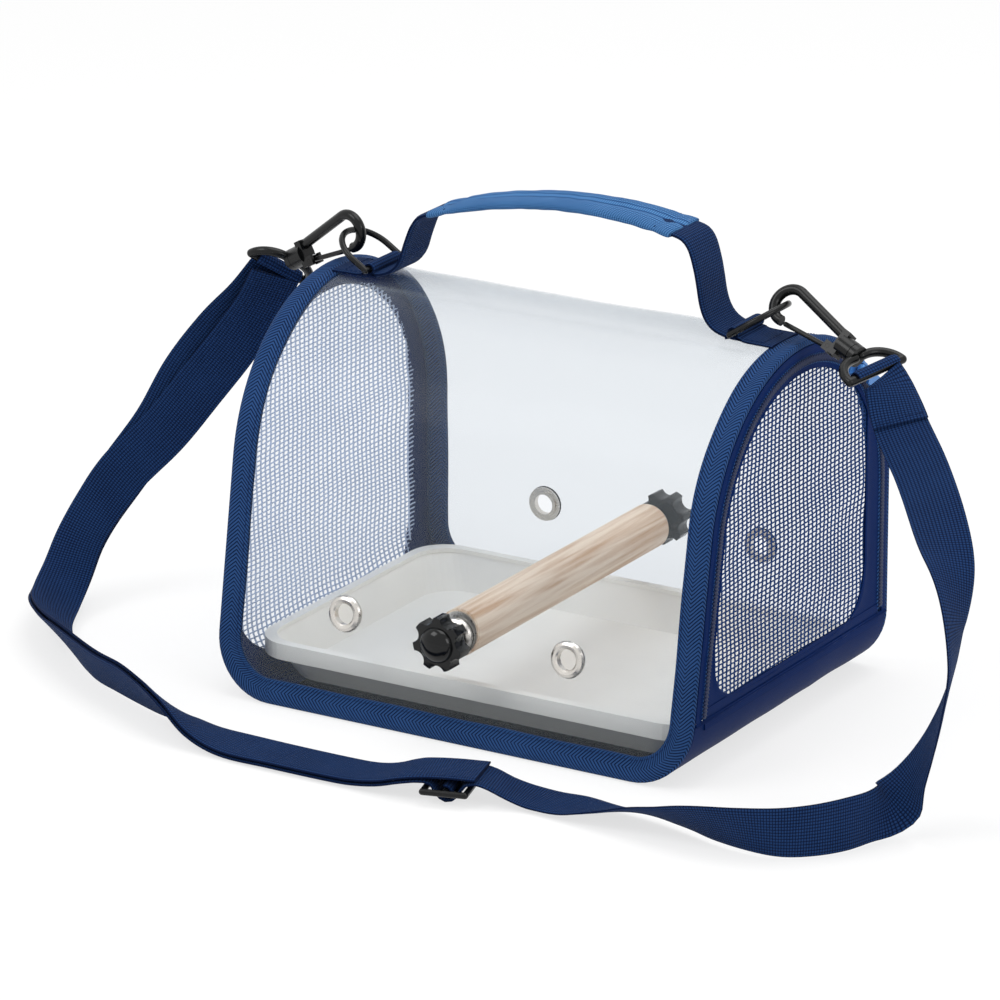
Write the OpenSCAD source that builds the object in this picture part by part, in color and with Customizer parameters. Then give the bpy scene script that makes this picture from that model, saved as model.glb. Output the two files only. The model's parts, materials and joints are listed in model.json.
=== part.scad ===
// Soft clear bird travel carrier: an arched clear sheet on a fabric gusset, with a mesh end,
// a zipped mesh door, a lift-out tray, a screwed perch, a padded handle and a shoulder strap.
// Millimetres. +X is the zipped end, -Y the front, +Z up; the origin is on the floor,
// midway between the ends and midway between the front and rear feet of the bag.

/* [Bag] */
// Width over the two ends
body_w = 256; // [220:1:300]
// Depth at the floor, front foot to rear face
body_d = 190; // [176:1:230]
// Height of the ridge
body_h = 184; // [160:1:230]
// Radius of the arched top
arch_r = 86; // [70:1:92]
// Radius of the lower corners of the ends
corner_r = 30; // [20:1:38]
// Thickness of the clear sheet
sheet_t = 0.8; // [0.4:0.1:1.2]
// Thickness of the fabric of the base and the ends
fabric_t = 1.2; // [0.8:0.1:1.6]
// Width of the edge tape on the sheet
tape_w = 12; // [8:1:18]
// Thickness of one ply of the edge tape
tape_t = 1.0; // [0.6:0.1:1.4]
// Radius of the stiffening wire in the edge tape
wire_r = 1.0; // [0.6:0.1:1.1]

/* [Ends and mesh] */
// Width of the fabric round each mesh window
surround_w = 13; // [12:1:24]
// Extra width of that fabric along the rear
surround_rear = 10; // [0:1:14]
// The same extra width on the left end, mm
left_rear = 4; // [0:1:14]
// Height of the left window's lower edge above the table, mm
left_sill = 8; // [5:1:24]
// Height of the lower edge of the windows above the fold of the door
sill_h = 3; // [2:1:12]
// Pitch of the mesh threads as modelled
net_pitch = 11; // [9:0.5:16]
// Width of the modelled threads
net_thread = 3; // [1.5:0.5:5]
// Thickness of the mesh
net_t = 0.7; // [0.4:0.1:0.8]

/* [Door and zip] */
// Distance of the zip's centre line from the edge of the end
zip_inset = 8; // [6:0.5:10]
// Width of the closed zip coil
coil_w = 4; // [3:0.5:6]
// How far the coil stands out of the end
coil_h = 1.4; // [0.8:0.1:2]
// Gap between the two coil halves
coil_gap = 0.3; // [0.3:0.05:0.6]
// Gap in the fabric along the fold of the door
fold_gap = 2.4; // [2:0.2:4]
// Where the slider is parked on the arch, in degrees above the rear
slider_park = 54; // [30:1:70]
// Length of the zip pull
pull_l = 26; // [18:1:32]

/* [Tray and base board] */
// Room between the tray's rim and each end of the bag
tray_end_gap = 10; // [9:1:28]
// Depth of the tray at its rim
tray_d = 160; // [130:1:164]
// Height of the tray
tray_h = 20; // [12:1:30]
// Wall of the tray
tray_t = 1.6; // [1:0.1:2.5]
// Height of the tray's turned-down rim, mm
tray_skirt = 8; // [4:0.5:12]
// How much smaller the tray is at its bottom
tray_draft = 20; // [18:1:30]
// Thickness of the base board
board_t = 2; // [1:0.1:3]

/* [Perch] */
// Height of the perch axis above the floor
perch_z = 50; // [42:1:80]
// Radius of the wooden perch
perch_r = 11; // [9:0.5:14]
// Radius of the stud of each knob
stud_r = 3; // [2:0.5:4]
// Radius of a star knob over its lobes
knob_r = 12.9; // [11:0.1:16]
// Lobes of a star knob
knob_lobes = 7; // [5:1:9]

/* [Eyelets] */
// Spacing of the eyelets in a row
eyelet_pitch = 60; // [40:1:70]
// Radius of the hole of an eyelet
eyelet_hole_r = 5; // [4.5:0.1:6]
// Radius of the flange of an eyelet
eyelet_r = 8.75; // [8:0.25:11]

/* [Handle] */
// Width of the webbing of the handle and the strap
web_w = 25; // [20:1:30]
// Thickness of the webbing
web_t = 1.6; // [1.2:0.1:2]
// Distance of the handle's feet from each end of the bag
handle_foot_inset = 38; // [36:1:48]
// Height of the fold of the handle above the ridge
handle_fold_h = 16; // [15:1:22]
// Height of the grip's ends above the ridge
grip_end_h = 41; // [34:1:50]
// Distance in from a handle's foot to the end of the grip
grip_inset = 23; // [20:1:40]
// Rise of the grip at its middle over its ends
grip_rise = 10; // [4:1:20]
// Width of the grip
grip_w = 30; // [28:1:36]
// Thickness of the grip
grip_t = 7; // [6:0.5:14]

/* [Rings and snap hooks] */
// Distance of each ring's bar from the end of the bag
ring_inset = 30; // [26:1:31]
// Radius of the ring wire
ring_wire = 1.5; // [1.2:0.1:2.2]
// Tilt of the rings above the horizontal
ring_tilt = 33; // [25:1:40]
// Radius of the hook's rod
hook_rod = 2.5; // [2:0.1:2.6]
// Radius of the curve of the hook's bow
bow_r = 8; // [8:0.1:9]
// Length from the bow's centre to the swivel block
hook_l = 33; // [30:1:38]
// Radius of the rod of the swivel eye
eye_rod = 2.2; // [1.8:0.1:2.4]

/* [Hidden] */
$fn = 48;

far = 300;                     // longer than any cut needs to reach
eps = 0.01;                    // overlap of pieces that are joined in one solid
air = 0.3;                     // clearance between pieces that move past each other
run = 0.08;                    // radial clearance of a pin in its bore

half_w = body_w / 2;
half_d = body_d / 2;
tray_l = body_w - 2 * tray_end_gap;
handle_foot_x = body_w / 2 - handle_foot_inset;
grip_half = handle_foot_x - grip_inset;
ring_x = body_w / 2 - ring_inset;
arch_y = half_d - arch_r;      // the rear face is upright, so the arch is tangent to it
arch_z = body_h - arch_r;
corner_x = half_w - corner_r;
fold_z = corner_r + 1;         // the door folds just above the round lower corner
fold_x = half_w - fabric_t / 2;

// The front face leans back: its line leaves the floor at the front foot and is tangent
// to the arch.
foot_dy = arch_y + half_d;
foot_l = sqrt(pow(foot_dy, 2) + pow(arch_z, 2));
lean = 90 - atan2(arch_z, foot_dy) - asin(arch_r / foot_l);

coil_out = zip_inset - coil_w / 2;
coil_in = zip_inset + coil_w / 2;
tape_in = sheet_t + tape_t;
board_z = fabric_t;
tray_z = board_z + board_t + air;
wire_inset = sheet_t / 2;
wire_x = half_w - 3;

cloth = "#22386b";
cloth_light = "#3b6ba5";
cloth_dark = "#1c2f5e";
nickel = "#c9ccce";
black = "#2a2b2a";
clear = [0.85, 0.92, 0.95, 0.35];

// ---- the end outline and the two ways it is extruded

// Outline of an end, in Y and Z, drawn in by d; it runs on below the floor
module end_outline(d) {
    r = arch_r - d;
    top = [arch_y - r * cos(lean), arch_z + r * sin(lean)];
    drop = (top[1] + 20) / cos(lean);
    translate([arch_y, arch_z]) circle(r, $fn = 96);
    polygon([
        top,
        [top[0] - drop * sin(lean), -20],
        [half_d - d, -20],
        [half_d - d, arch_z],
        [arch_y, arch_z + r / 2]
    ]);
}

// Outline of the bag seen from the front, in X and Z, drawn in by d; open at the top
module front_outline(d) {
    translate([-(half_w - d), corner_r]) square([body_w - 2 * d, far]);
    translate([-corner_x, d]) square([2 * corner_x, corner_r]);
    for (s = [-1, 1]) translate([s * corner_x, corner_r]) circle(corner_r - d, $fn = 64);
}

module along_x(x0, x1) translate([x0, 0, 0]) rotate([90, 0, 90]) linear_extrude(x1 - x0) children();
module along_y(y0, y1) translate([0, y1, 0]) rotate([90, 0, 0]) linear_extrude(y1 - y0) children();

// The shell of the end outline between two depths, within an X range
module tunnel(d0, d1, x0, x1) along_x(x0, x1) difference() {
    end_outline(d0);
    end_outline(d1);
}

module front_prism(d) along_y(-far, far) front_outline(d);

// Places its children on the front face at height z, with +Z pointing out of the face
module on_front(x, z) {
    translate([x, -half_d + z * tan(lean), z]) rotate([90 - lean, 0, 0]) children();
}

module on_rear(x, z) translate([x, half_d, z]) rotate([-90, 0, 0]) children();

// ---- clear sheet, edge tape and wires

seat_h = 5;                                  // height of a knob's ball seat over the sheet
front_row_z = perch_z - seat_h * sin(lean);  // the eyelet axis meets the perch axis there
rear_row_z = perch_z;
barrel_r = eyelet_hole_r + 0.6;

module eyelet_holes(r) for (i = [-1:1]) {
    on_front(i * eyelet_pitch, front_row_z) translate([0, 0, -5]) cylinder(r = r, h = 10);
    on_rear(i * eyelet_pitch, rear_row_z) translate([0, 0, -5]) cylinder(r = r, h = 10);
}

sheet_edge = 6;                              // how deep the sheet's edge sits inside the tape

module clear_sheet() color(clear) difference() {
    intersection() {
        tunnel(0, sheet_t, -half_w, half_w);
        front_prism(sheet_edge);
    }
    eyelet_holes(barrel_r);
}

module edge_tape() difference() {
    intersection() {
        tunnel(-tape_t, tape_in, -half_w, half_w);
        difference() {
            front_prism(0);
            front_prism(tape_w);
        }
    }
    intersection() {
        tunnel(0, sheet_t, -half_w, half_w);
        front_prism(sheet_edge);
    }
    for (s = [-1, 1]) hoop(s, wire_r + 0.05);
}

// Stiffening wire in the tape of one end: up the front, over the arch and down the rear
module hoop(side, r) translate([side * wire_x, 0, 0]) {
    reach = arch_r - wire_inset;
    sweep = 180 - lean;
    top = [arch_y - reach * cos(lean), arch_z + reach * sin(lean)];
    bottom = corner_r + 4;
    translate([0, arch_y, arch_z]) rotate([90, 0, 90])
        rotate_extrude(angle = sweep, $fn = 96) translate([reach, 0]) circle(r, $fn = 24);
    translate([0, half_d - wire_inset, bottom]) cylinder(r = r, h = arch_z - bottom, $fn = 24);
    translate([0, top[0], top[1]]) rotate([180 - lean, 0, 0])
        cylinder(r = r, h = (top[1] - bottom) / cos(lean), $fn = 24);
}

module binding_left() color(cloth) intersection() {
    edge_tape();
    translate([-far - corner_x, -far, -far]) cube([far, 2 * far, 3 * far]);
}

module binding_right() color(cloth) intersection() {
    edge_tape();
    translate([corner_x, -far, -far]) cube([far, 2 * far, 3 * far]);
}

module lower_tape(y0) color(cloth) intersection() {
    edge_tape();
    translate([-corner_x, y0, -1]) cube([2 * corner_x, far, tape_w + 2]);
}

module binding_front() lower_tape(-far);

module binding_rear() lower_tape(0);

module hoop_wire_left() color(nickel) hoop(-1, wire_r);

module hoop_wire_right() color(nickel) hoop(1, wire_r);

// ---- gusset: base, ends and windows

// The fabric shell inside the tape, between two heights
module gusset(z0, z1) intersection() {
    difference() {
        front_prism(0);
        front_prism(fabric_t);
    }
    along_x(-half_w, half_w) intersection() {
        end_outline(tape_in);
        translate([-far, z0]) square([2 * far, z1 - z0]);
    }
}

module base_panel() color(cloth_dark) difference() {
    gusset(-1, fold_z - fold_gap / 2);
    left_opening();
}

module base_board() color("#3a3a3c") intersection() {
    along_x(-corner_x + 2, corner_x - 2) intersection() {
        end_outline(tape_in + 1);
        translate([-far, board_z]) square([2 * far, board_t]);
    }
    cube([far * 2, far * 2, far], center = true);
}

// Outline of the door's mesh window, drawn in by d
module window(d) window_outline(d, fold_z + sill_h + d, surround_rear);

// Outline of the left end's mesh window, which reaches down into the bag's round corner
module left_window(d) window_outline(d, left_sill + d, left_rear);

module window_outline(d, sill, behind) {
    rear = half_d - surround_w - behind - d;
    corner = 10;
    intersection() {
        end_outline(surround_w + d);
        union() {
            translate([-far, sill + corner]) square([far + rear, far]);
            translate([-far, sill]) square([far + rear - corner, far]);
            translate([rear - corner, sill + corner]) circle(corner);
        }
    }
}

// The threads of a net, both ways
module threads() {
    for (y = [-half_d : net_pitch : half_d]) translate([y, 0]) square([net_thread, far]);
    for (z = [0 : net_pitch : body_h]) translate([-half_d, z]) square([body_d, net_thread]);
}

// The door's flat net: a hem and threads both ways
module net(x0) along_x(x0, x0 + net_t) {
    difference() {
        window(0);
        window(2);
    }
    intersection() {
        window(1);
        threads();
    }
}

// Cuts the left window out of the cloth, also where the cloth turns in to the base
module left_opening() along_x(-half_w - 1, -corner_x) left_window(0);

module left_end_panel() color(cloth_dark) difference() {
    intersection() {
        gusset(fold_z - fold_gap / 2, far);
        translate([-far, -far, 0]) cube([far, 2 * far, far]);
    }
    left_opening();
}

// The left net follows the cloth down into the bag's round corner
module left_mesh() color(cloth_light) intersection() {
    difference() {
        front_prism((fabric_t - net_t) / 2);
        front_prism((fabric_t + net_t) / 2);
    }
    along_x(-half_w, -corner_x) {
        difference() {
            left_window(0);
            left_window(2);
        }
        intersection() {
            left_window(1);
            threads();
        }
    }
}

// Upper half of an end at the door side: everything above the fold
module door_side(d0, d1, x0, x1, z0) along_x(x0, x1) intersection() {
    difference() {
        end_outline(d0);
        end_outline(d1);
    }
    translate([-far, z0]) square([2 * far, far]);
}

module right_end_frame() color(cloth_dark)
    door_side(tape_in, coil_out, half_w - fabric_t, half_w, fold_z - fold_gap / 2);

module zip_coil_fixed() color(cloth) door_side(
    coil_out, zip_inset - coil_gap / 2, half_w - fabric_t, half_w + coil_h,
    fold_z + fold_gap / 2
);

// ---- door

module zip_coil_door() color(cloth) door_side(
    zip_inset + coil_gap / 2, coil_in, half_w - fabric_t, half_w + coil_h,
    fold_z + fold_gap / 2
);

module door_panel() color(cloth_dark) along_x(half_w - fabric_t, half_w) difference() {
    intersection() {
        end_outline(coil_in);
        translate([-far, fold_z + fold_gap / 2]) square([2 * far, far]);
    }
    window(0);
}

module door_mesh() color(cloth_light) net(half_w - (fabric_t + net_t) / 2);

// Places its children at the parked slider, +X out of the end, +Z along the zip downwards
module at_slider() {
    reach = arch_r - zip_inset;
    translate([half_w + coil_h + air, arch_y + reach * cos(slider_park),
        arch_z + reach * sin(slider_park)])
        rotate([slider_park + 180, 0, 0]) children();
}

slider_l = 11;
slider_w = 8;
slider_t = 1.6;
pull_t = 1.2;
pull_w = 6.5;
bail_r = 1.0;
bail_x = slider_t + 2.4;       // height of the pull's pin over the coil side of the slider

module zip_slider() color(cloth_light) at_slider() {
    difference() {
        union() {
            translate([0, -slider_w / 2, -slider_l / 2]) cube([slider_t, slider_w, slider_l]);
            for (s = [-1, 1]) translate([-coil_h, s * (coil_w / 2 + 1.1) - 0.6, -slider_l / 2])
                cube([coil_h + eps, 1.2, slider_l]);
            for (s = [-1, 1]) translate([0, s * (slider_w / 2 - 1) - 0.6, -2.4])
                cube([bail_x + 1.2, 1.2, 4.8]);
        }
        for (s = [-1, 1]) translate([-coil_h - 1, s * (slider_w / 2 + 1.6), slider_l / 2])
            rotate([0, 90, 0]) cylinder(r = 2.6, h = 8);
    }
    translate([bail_x, 0, 0]) rotate([90, 0, 0])
        cylinder(r = bail_r, h = slider_w - 2, center = true, $fn = 24);
}

// The pull hangs down along the zip; its far end is rounded
module zip_pull() color(cloth_light) at_slider() translate([bail_x, 0, 0]) {
    tongue = slider_w - 4.4;
    rotate([90, 0, 0]) difference() {
        union() {
            cylinder(r = 2, h = tongue, center = true, $fn = 32);
            translate([-pull_t / 2, 0, -tongue / 2]) cube([pull_t, pull_l - pull_w / 2, tongue]);
        }
        cylinder(r = bail_r + run, h = slider_w, center = true, $fn = 24);
    }
    translate([-pull_t / 2, 0, pull_l - pull_w / 2]) rotate([0, 90, 0]) difference() {
        union() {
            cylinder(r = pull_w / 2, h = pull_t);
            translate([0, -pull_w / 2, 0]) cube([pull_l / 2, pull_w, pull_t]);
        }
        translate([0, 0, -1]) cylinder(r = pull_w / 4, h = pull_t + 2);
    }
}

// ---- base tray

// Half of the length and depth of the tray at a height z above its bottom
module tray_slab(inset, z, h) {
    grow = tray_draft * z / tray_h;
    l = tray_l - tray_draft - 2 * inset + grow;
    d = tray_d - tray_draft - 2 * inset + grow;
    r = 18 - inset / 2;
    translate([0, tray_mid, z]) linear_extrude(h) {
        for (sx = [-1, 1]) for (sy = [-1, 1])
            translate([sx * (l / 2 - r), sy * (d / 2 - r)]) circle(r, $fn = 32);
    }
}

tray_mid = 4;
rim_out = 1.5;

module tray() color("#cdc9c1") translate([0, 0, tray_z]) {
    difference() {
        hull() {
            tray_slab(0, 0, 0.1);
            tray_slab(0, tray_h - 0.1, 0.1);
        }
        hull() {
            tray_slab(tray_t, tray_t, 0.1);
            tray_slab(tray_t, tray_h + 1, 0.1);
        }
    }
    difference() {
        tray_rim(0, 2);
        hull() tray_slab(tray_t, tray_h - 3, 4);
    }
    difference() {
        tray_rim(0, tray_skirt);
        translate([0, 0, 1]) tray_rim(tray_t, tray_skirt + 2);
    }
}

// The rim's outer edge, drawn in by inset, over a height h below the tray's top
module tray_rim(inset, h) translate([0, 0, -h]) hull() tray_slab(inset - rim_out, tray_h, h);

// ---- eyelets

module eyelet() rotate_extrude() polygon([
    [eyelet_hole_r, -2.2],
    [eyelet_hole_r, 0.9],
    [eyelet_hole_r + 0.7, 1.5],
    [(eyelet_hole_r + eyelet_r) / 2, 1.8],
    [eyelet_r - 0.6, 1.1],
    [eyelet_r, 0],
    [barrel_r, 0],
    [barrel_r, -sheet_t - 0.8],
    [barrel_r + 1, -sheet_t - 0.8],
    [barrel_r + 1, -2.2]
]);

module eyelet_washer() translate([0, 0, -sheet_t - 0.8]) difference() {
    cylinder(r = eyelet_r - 0.3, h = 0.8);
    translate([0, 0, -1]) cylinder(r = barrel_r, h = 3);
}

module front_eyelets() color(nickel) for (i = [-1:1])
    on_front(i * eyelet_pitch, front_row_z) eyelet();

module rear_eyelets() color(nickel) for (i = [-1:1])
    on_rear(i * eyelet_pitch, rear_row_z) eyelet();

module front_eyelet_washers() color(nickel) for (i = [-1:1])
    on_front(i * eyelet_pitch, front_row_z) eyelet_washer();

module rear_eyelet_washers() color(nickel) for (i = [-1:1])
    on_rear(i * eyelet_pitch, rear_row_z) eyelet_washer();

// ---- perch and its knobs

washer_t = 1.2;
perch_end = 2.2 + washer_t + 0.1;      // depth of the perch's ends inside the sheet's face
insert_r = 4.5;
insert_l = 16;                         // depth of the inserts' inner ends inside the sheet's face
stud_l = 12;                           // depth of the studs' tips inside the sheet's face
front_knob_y = -half_d + perch_z * tan(lean);

module perch_axis(r) translate([0, far, perch_z]) rotate([90, 0, 0]) cylinder(r = r, h = 2 * far);

module perch_blank(r, d) intersection() {
    perch_axis(r);
    along_x(-perch_r - 1, perch_r + 1) end_outline(d);
}

// Cuts that keep only the two ends of something along the perch
module perch_ends() {
    translate([-far, -far, 0]) cube([2 * far, far + front_knob_y + insert_l, far]);
    translate([-far, half_d - insert_l, 0]) cube([2 * far, far, far]);
}

module perch() color("#d9c3b0") difference() {
    perch_blank(perch_r, perch_end);
    intersection() {
        perch_axis(insert_r);
        perch_ends();
    }
}

module perch_inserts() color("#b8934a") intersection() {
    difference() {
        perch_blank(insert_r, perch_end);
        perch_axis(stud_r + run);
    }
    perch_ends();
}

module perch_washers() color(nickel) difference() {
    perch_blank(perch_r - 1, perch_end - washer_t);
    perch_blank(perch_r, perch_end);
    perch_axis(stud_r + 0.4);
}

// A star knob on +Z, whose seat touches z = 0; its stud runs down the -Z axis
module star_knob() {
    lobe = 3.4;
    translate([0, 0, seat_h + 1.5]) {
        linear_extrude(8.5) {
            circle(knob_r - lobe + 0.6);
            for (i = [0 : knob_lobes - 1]) rotate(i * 360 / knob_lobes)
                translate([knob_r - lobe, 0]) circle(lobe, $fn = 32);
        }
        translate([0, 0, 8.5]) intersection() {
            translate([0, 0, -3]) sphere(7.2);
            cylinder(r = 7.2, h = 8);
        }
    }
    intersection() {
        translate([0, 0, seat_h + 0.6]) sphere(6.6);
        translate([0, 0, seat_h - 3.6]) cylinder(r = 7, h = 5.2);
    }
}

module knob_stud() translate([0, 0, -stud_l]) cylinder(r = stud_r, h = stud_l + seat_h + 4);

module at_front_knob() {
    translate([0, front_knob_y, perch_z]) rotate([90, 0, 0]) children();
}

module at_rear_knob() translate([0, half_d, perch_z]) rotate([-90, 0, 0]) children();

module knob_only() difference() {
    star_knob();
    translate([0, 0, -1]) cylinder(r = stud_r, h = seat_h + 5);
}

module front_knob() color(black) at_front_knob() knob_only();

module front_knob_stud() color(nickel) at_front_knob() knob_stud();

module rear_knob() color(black) at_rear_knob() knob_only();

module rear_knob_stud() color(nickel) at_rear_knob() knob_stud();

// ---- ring tabs and rings

tab_seat = 0.3;                // how far the loop round a ring's bar sinks into its tab
bar_z = body_h + web_t + ring_wire + run + web_t - tab_seat;
web_y0 = arch_y - web_w / 2;
ring_half = web_w / 2 + 2 + ring_wire / 2;     // from the middle to each leg of the ring
ring_leg = 8;

// A strip of webbing on the ridge that carries a loop round the ring's bar
module ring_tab(s) difference() {
    union() {
        intersection() {
            tunnel(-web_t, 0, -far, far);
            translate([s > 0 ? handle_foot_x + 5 : -half_w + tape_w, web_y0, 0])
                cube([half_w - tape_w - handle_foot_x - 5, web_w, far]);
        }
        translate([s * ring_x, web_y0, bar_z]) rotate([-90, 0, 0])
            cylinder(r = ring_wire + run + web_t, h = web_w);
    }
    translate([s * ring_x, web_y0 - 1, bar_z]) rotate([-90, 0, 0])
        cylinder(r = ring_wire + run, h = web_w + 2);
    tunnel(0, 2, -far, far);
}

module d_ring(s) translate([s * ring_x, arch_y, bar_z]) mirror([s > 0 ? 0 : 1, 0, 0])
    rotate([0, -ring_tilt, 0]) {
        rotate([90, 0, 0]) cylinder(r = ring_wire, h = 2 * ring_half, center = true);
        for (t = [-1, 1]) translate([0, t * ring_half, 0]) {
            sphere(ring_wire);
            rotate([0, 90, 0]) cylinder(r = ring_wire, h = ring_leg);
        }
        translate([ring_leg, 0, 0]) rotate([0, 0, -90])
            rotate_extrude(angle = 180) translate([ring_half, 0]) circle(ring_wire, $fn = 32);
    }

module left_ring_tab() color(cloth) ring_tab(-1);

module right_ring_tab() color(cloth) ring_tab(1);

module left_d_ring() color(black) d_ring(-1);

module right_d_ring() color(black) d_ring(1);

// ---- snap hooks

// Each hook's own axes, from the bow's centre: u runs to the strap, v to the back bar
left_u = [-0.84, 0.22, -0.49];
left_v = [-0.48, 0.093, 0.871];
right_u = [0.91, -0.27, -0.31];
right_v = [0.414, 0.55, 0.725];
// Directions of the two eye bars
left_e = [0.49, 0.685, -0.54];
right_e = [0.33, 0.935, 0.14];
// Where along the round end of each ring its wire passes through the bow
left_pass = 10;
right_pass = 21;
pass_offset = 1.6;             // distance of that wire from the bow's centre

function unit(v) = v / norm(v);
function flat(v, t) = unit(v - (v * t) * t);

// The point on a ring's centre line at the angle a round its far end
function ring_point(s, a) = let(reach = ring_leg + ring_half * cos(a)) [
    s * (ring_x + reach * cos(ring_tilt)),
    arch_y + ring_half * sin(a),
    bar_z + reach * sin(ring_tilt)
];

left_bow = ring_point(-1, left_pass) + pass_offset * unit(left_u);
right_bow = ring_point(1, right_pass) + pass_offset * unit(right_u);

// Draws its children in axes whose X is u and whose Y is v, from the point p
module in_axes(p, u, v) {
    x = unit(u);
    y = flat(v, x);
    z = cross(x, y);
    multmatrix([
        [x[0], y[0], z[0], p[0]],
        [x[1], y[1], z[1], p[1]],
        [x[2], y[2], z[2], p[2]],
        [0, 0, 0, 1]
    ]) children();
}

// A straight rod with round ends between two points of the hook's plane
module rod(a, b, r) {
    d = b - a;
    translate([a[0], a[1], 0]) {
        sphere(r, $fn = 32);
        rotate([0, 0, atan2(d[1], d[0])]) rotate([0, 90, 0]) cylinder(r = r, h = norm(d), $fn = 32);
    }
    translate([b[0], b[1], 0]) sphere(r, $fn = 32);
}

gate_rod = 1.2;
gate_pivot = [hook_l - gate_rod - air, -4.6];
gate_half = 1.5;               // half the thickness of the gate, which is flat on its sides
gate_tip = [4.6, -bow_r];
gate_axle_r = 1.0;
// The back bar leaves the bow along its tangent and slopes in to the block
back_a = 90 - 7;
back_l = hook_l - bow_r * cos(back_a) + 0.5;
bow_sweep = 200;
block_l = 4;
block_w = 13;
block_h = 6.8;
ear_z = 2.6;
ear_t = 1.6;
collar_r = 5.2;
barrel_l = 6;
pin_r = 1.8;
head_step = 0.9;               // how much wider the pin's head is than the pin
head_l = 2.2;
collar_l = 3;
eye_x0 = hook_l + block_l + barrel_l + air;
eye_half = web_w / 2 + 1.2 + eye_rod;
eye_bend = 12;
eye_bar_x = eye_x0 + collar_l + eye_bend;

module hook_body() difference() {
    union() {
        rotate([0, 0, back_a]) {
            rotate_extrude(angle = bow_sweep) translate([bow_r, 0]) circle(hook_rod, $fn = 32);
            translate([bow_r, 0, 0]) rotate([90, 0, 0])
                cylinder(r = hook_rod, h = back_l, $fn = 32);
        }
        translate([hook_l, -block_w / 2, -block_h / 2]) cube([block_l, block_w, block_h]);
        for (t = [-1, 1]) translate([gate_pivot[0] - 2.4, gate_pivot[1] - 2.4, t * ear_z - ear_t / 2])
            cube([hook_l - gate_pivot[0] + 3, 4.8, ear_t]);
        translate([hook_l + block_l / 2, 0, 0]) rotate([0, 90, 0])
            cylinder(r = collar_r, h = barrel_l + block_l / 2);
    }
    translate([hook_l + 1, 0, 0]) rotate([0, 90, 0]) cylinder(r = pin_r + run, h = 20);
    translate([hook_l + 1, 0, 0]) rotate([0, 90, 0]) cylinder(r = pin_r + head_step + run, h = head_l + air);
    translate([gate_pivot[0], gate_pivot[1], -10]) cylinder(r = gate_axle_r + run, h = 20, $fn = 24);
}

module hook_gate() {
    difference() {
        union() {
            rod(gate_tip, gate_pivot, gate_rod);
        }
        for (t = [-1, 1]) translate([-far, -far, t > 0 ? gate_half : -gate_half - far])
            cube([2 * far, 2 * far, far]);
    }
    translate([gate_pivot[0], gate_pivot[1], -block_h / 2])
        cylinder(r = gate_axle_r, h = block_h, $fn = 24);
}

// Small leaf spring that stands out of the block over the gate's heel
module gate_spring() translate([gate_pivot[0] - 1.5, gate_pivot[1] + gate_rod + 0.7, -1.2])
    cube([hook_l - gate_pivot[0] + 1.5, 0.4, 2.4]);

// Swivel eye: headed pin, collar, two bent arms and the bar for the strap
module hook_eye() {
    translate([hook_l + 1 + air / 2, 0, 0]) rotate([0, 90, 0])
        cylinder(r = pin_r + head_step, h = head_l);
    translate([hook_l + 1 + air / 2, 0, 0]) rotate([0, 90, 0])
        cylinder(r = pin_r, h = eye_x0 - hook_l);
    translate([eye_x0, 0, 0]) rotate([0, 90, 0]) cylinder(r = collar_r, h = collar_l);
    for (t = [-1, 1]) mirror([0, t > 0 ? 0 : 1, 0]) {
        rod([eye_x0 + collar_l, 2], [eye_x0 + collar_l, eye_half - eye_bend], eye_rod);
        translate([eye_bar_x, eye_half - eye_bend, 0]) rotate([0, 0, 90])
            rotate_extrude(angle = 90) translate([eye_bend, 0]) circle(eye_rod, $fn = 32);
        translate([eye_bar_x, eye_half, 0]) sphere(eye_rod, $fn = 32);
    }
    translate([eye_bar_x, 0, 0]) rotate([90, 0, 0])
        cylinder(r = eye_rod, h = 2 * eye_half, center = true, $fn = 32);
}

// The sewn fold of the strap round an eye's bar
module strap_loop() translate([eye_bar_x, 0, 0]) rotate([90, 0, 0]) difference() {
    cylinder(r = eye_rod + run + web_t, h = web_w, center = true);
    cylinder(r = eye_rod + run, h = web_w + 2, center = true);
}

module left_hook_body() color(black) in_axes(left_bow, left_u, left_v) hook_body();

module left_hook_gate() color(black) in_axes(left_bow, left_u, left_v) hook_gate();

module left_gate_spring() color(nickel) in_axes(left_bow, left_u, left_v) gate_spring();

module left_hook_eye() color(black) in_axes(left_bow, left_u, left_e) hook_eye();

module right_hook_body() color(black) in_axes(right_bow, right_u, right_v) hook_body();

module right_hook_gate() color(black) in_axes(right_bow, right_u, right_v) hook_gate();

module right_gate_spring() color(nickel) in_axes(right_bow, right_u, right_v) gate_spring();

module right_hook_eye() color(black) in_axes(right_bow, right_u, right_e) hook_eye();

module strap_loop_left() color(cloth) in_axes(left_bow, left_u, left_e) strap_loop();

module strap_loop_right() color(cloth) in_axes(right_bow, right_u, right_e) strap_loop();

left_eye = left_bow + eye_bar_x * unit(left_u);
right_eye = right_bow + eye_bar_x * unit(right_u);

// ---- shoulder strap

// The routes below are laid out for a bag of this half length, half depth and height. Where
// those change, the strap's points move with the ends, the front and the ridge.
route_half_w = 128;
route_half_d = 95;
route_h = 184;
route_mid = 60;                // half the length of the stretch that keeps its place along X

function with_bag(p) = let(
    beside = min(1, max(0, (abs(p[0]) - route_mid) / route_mid)),
    above = min(1, max(0, (p[2] - 20) / 130))
) [
    p[0] + sign(p[0]) * beside * (half_w - route_half_w),
    p[1] + (2 * above - 1) * (half_d - route_half_d),
    p[2] + above * (body_h - route_h)
];

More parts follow.
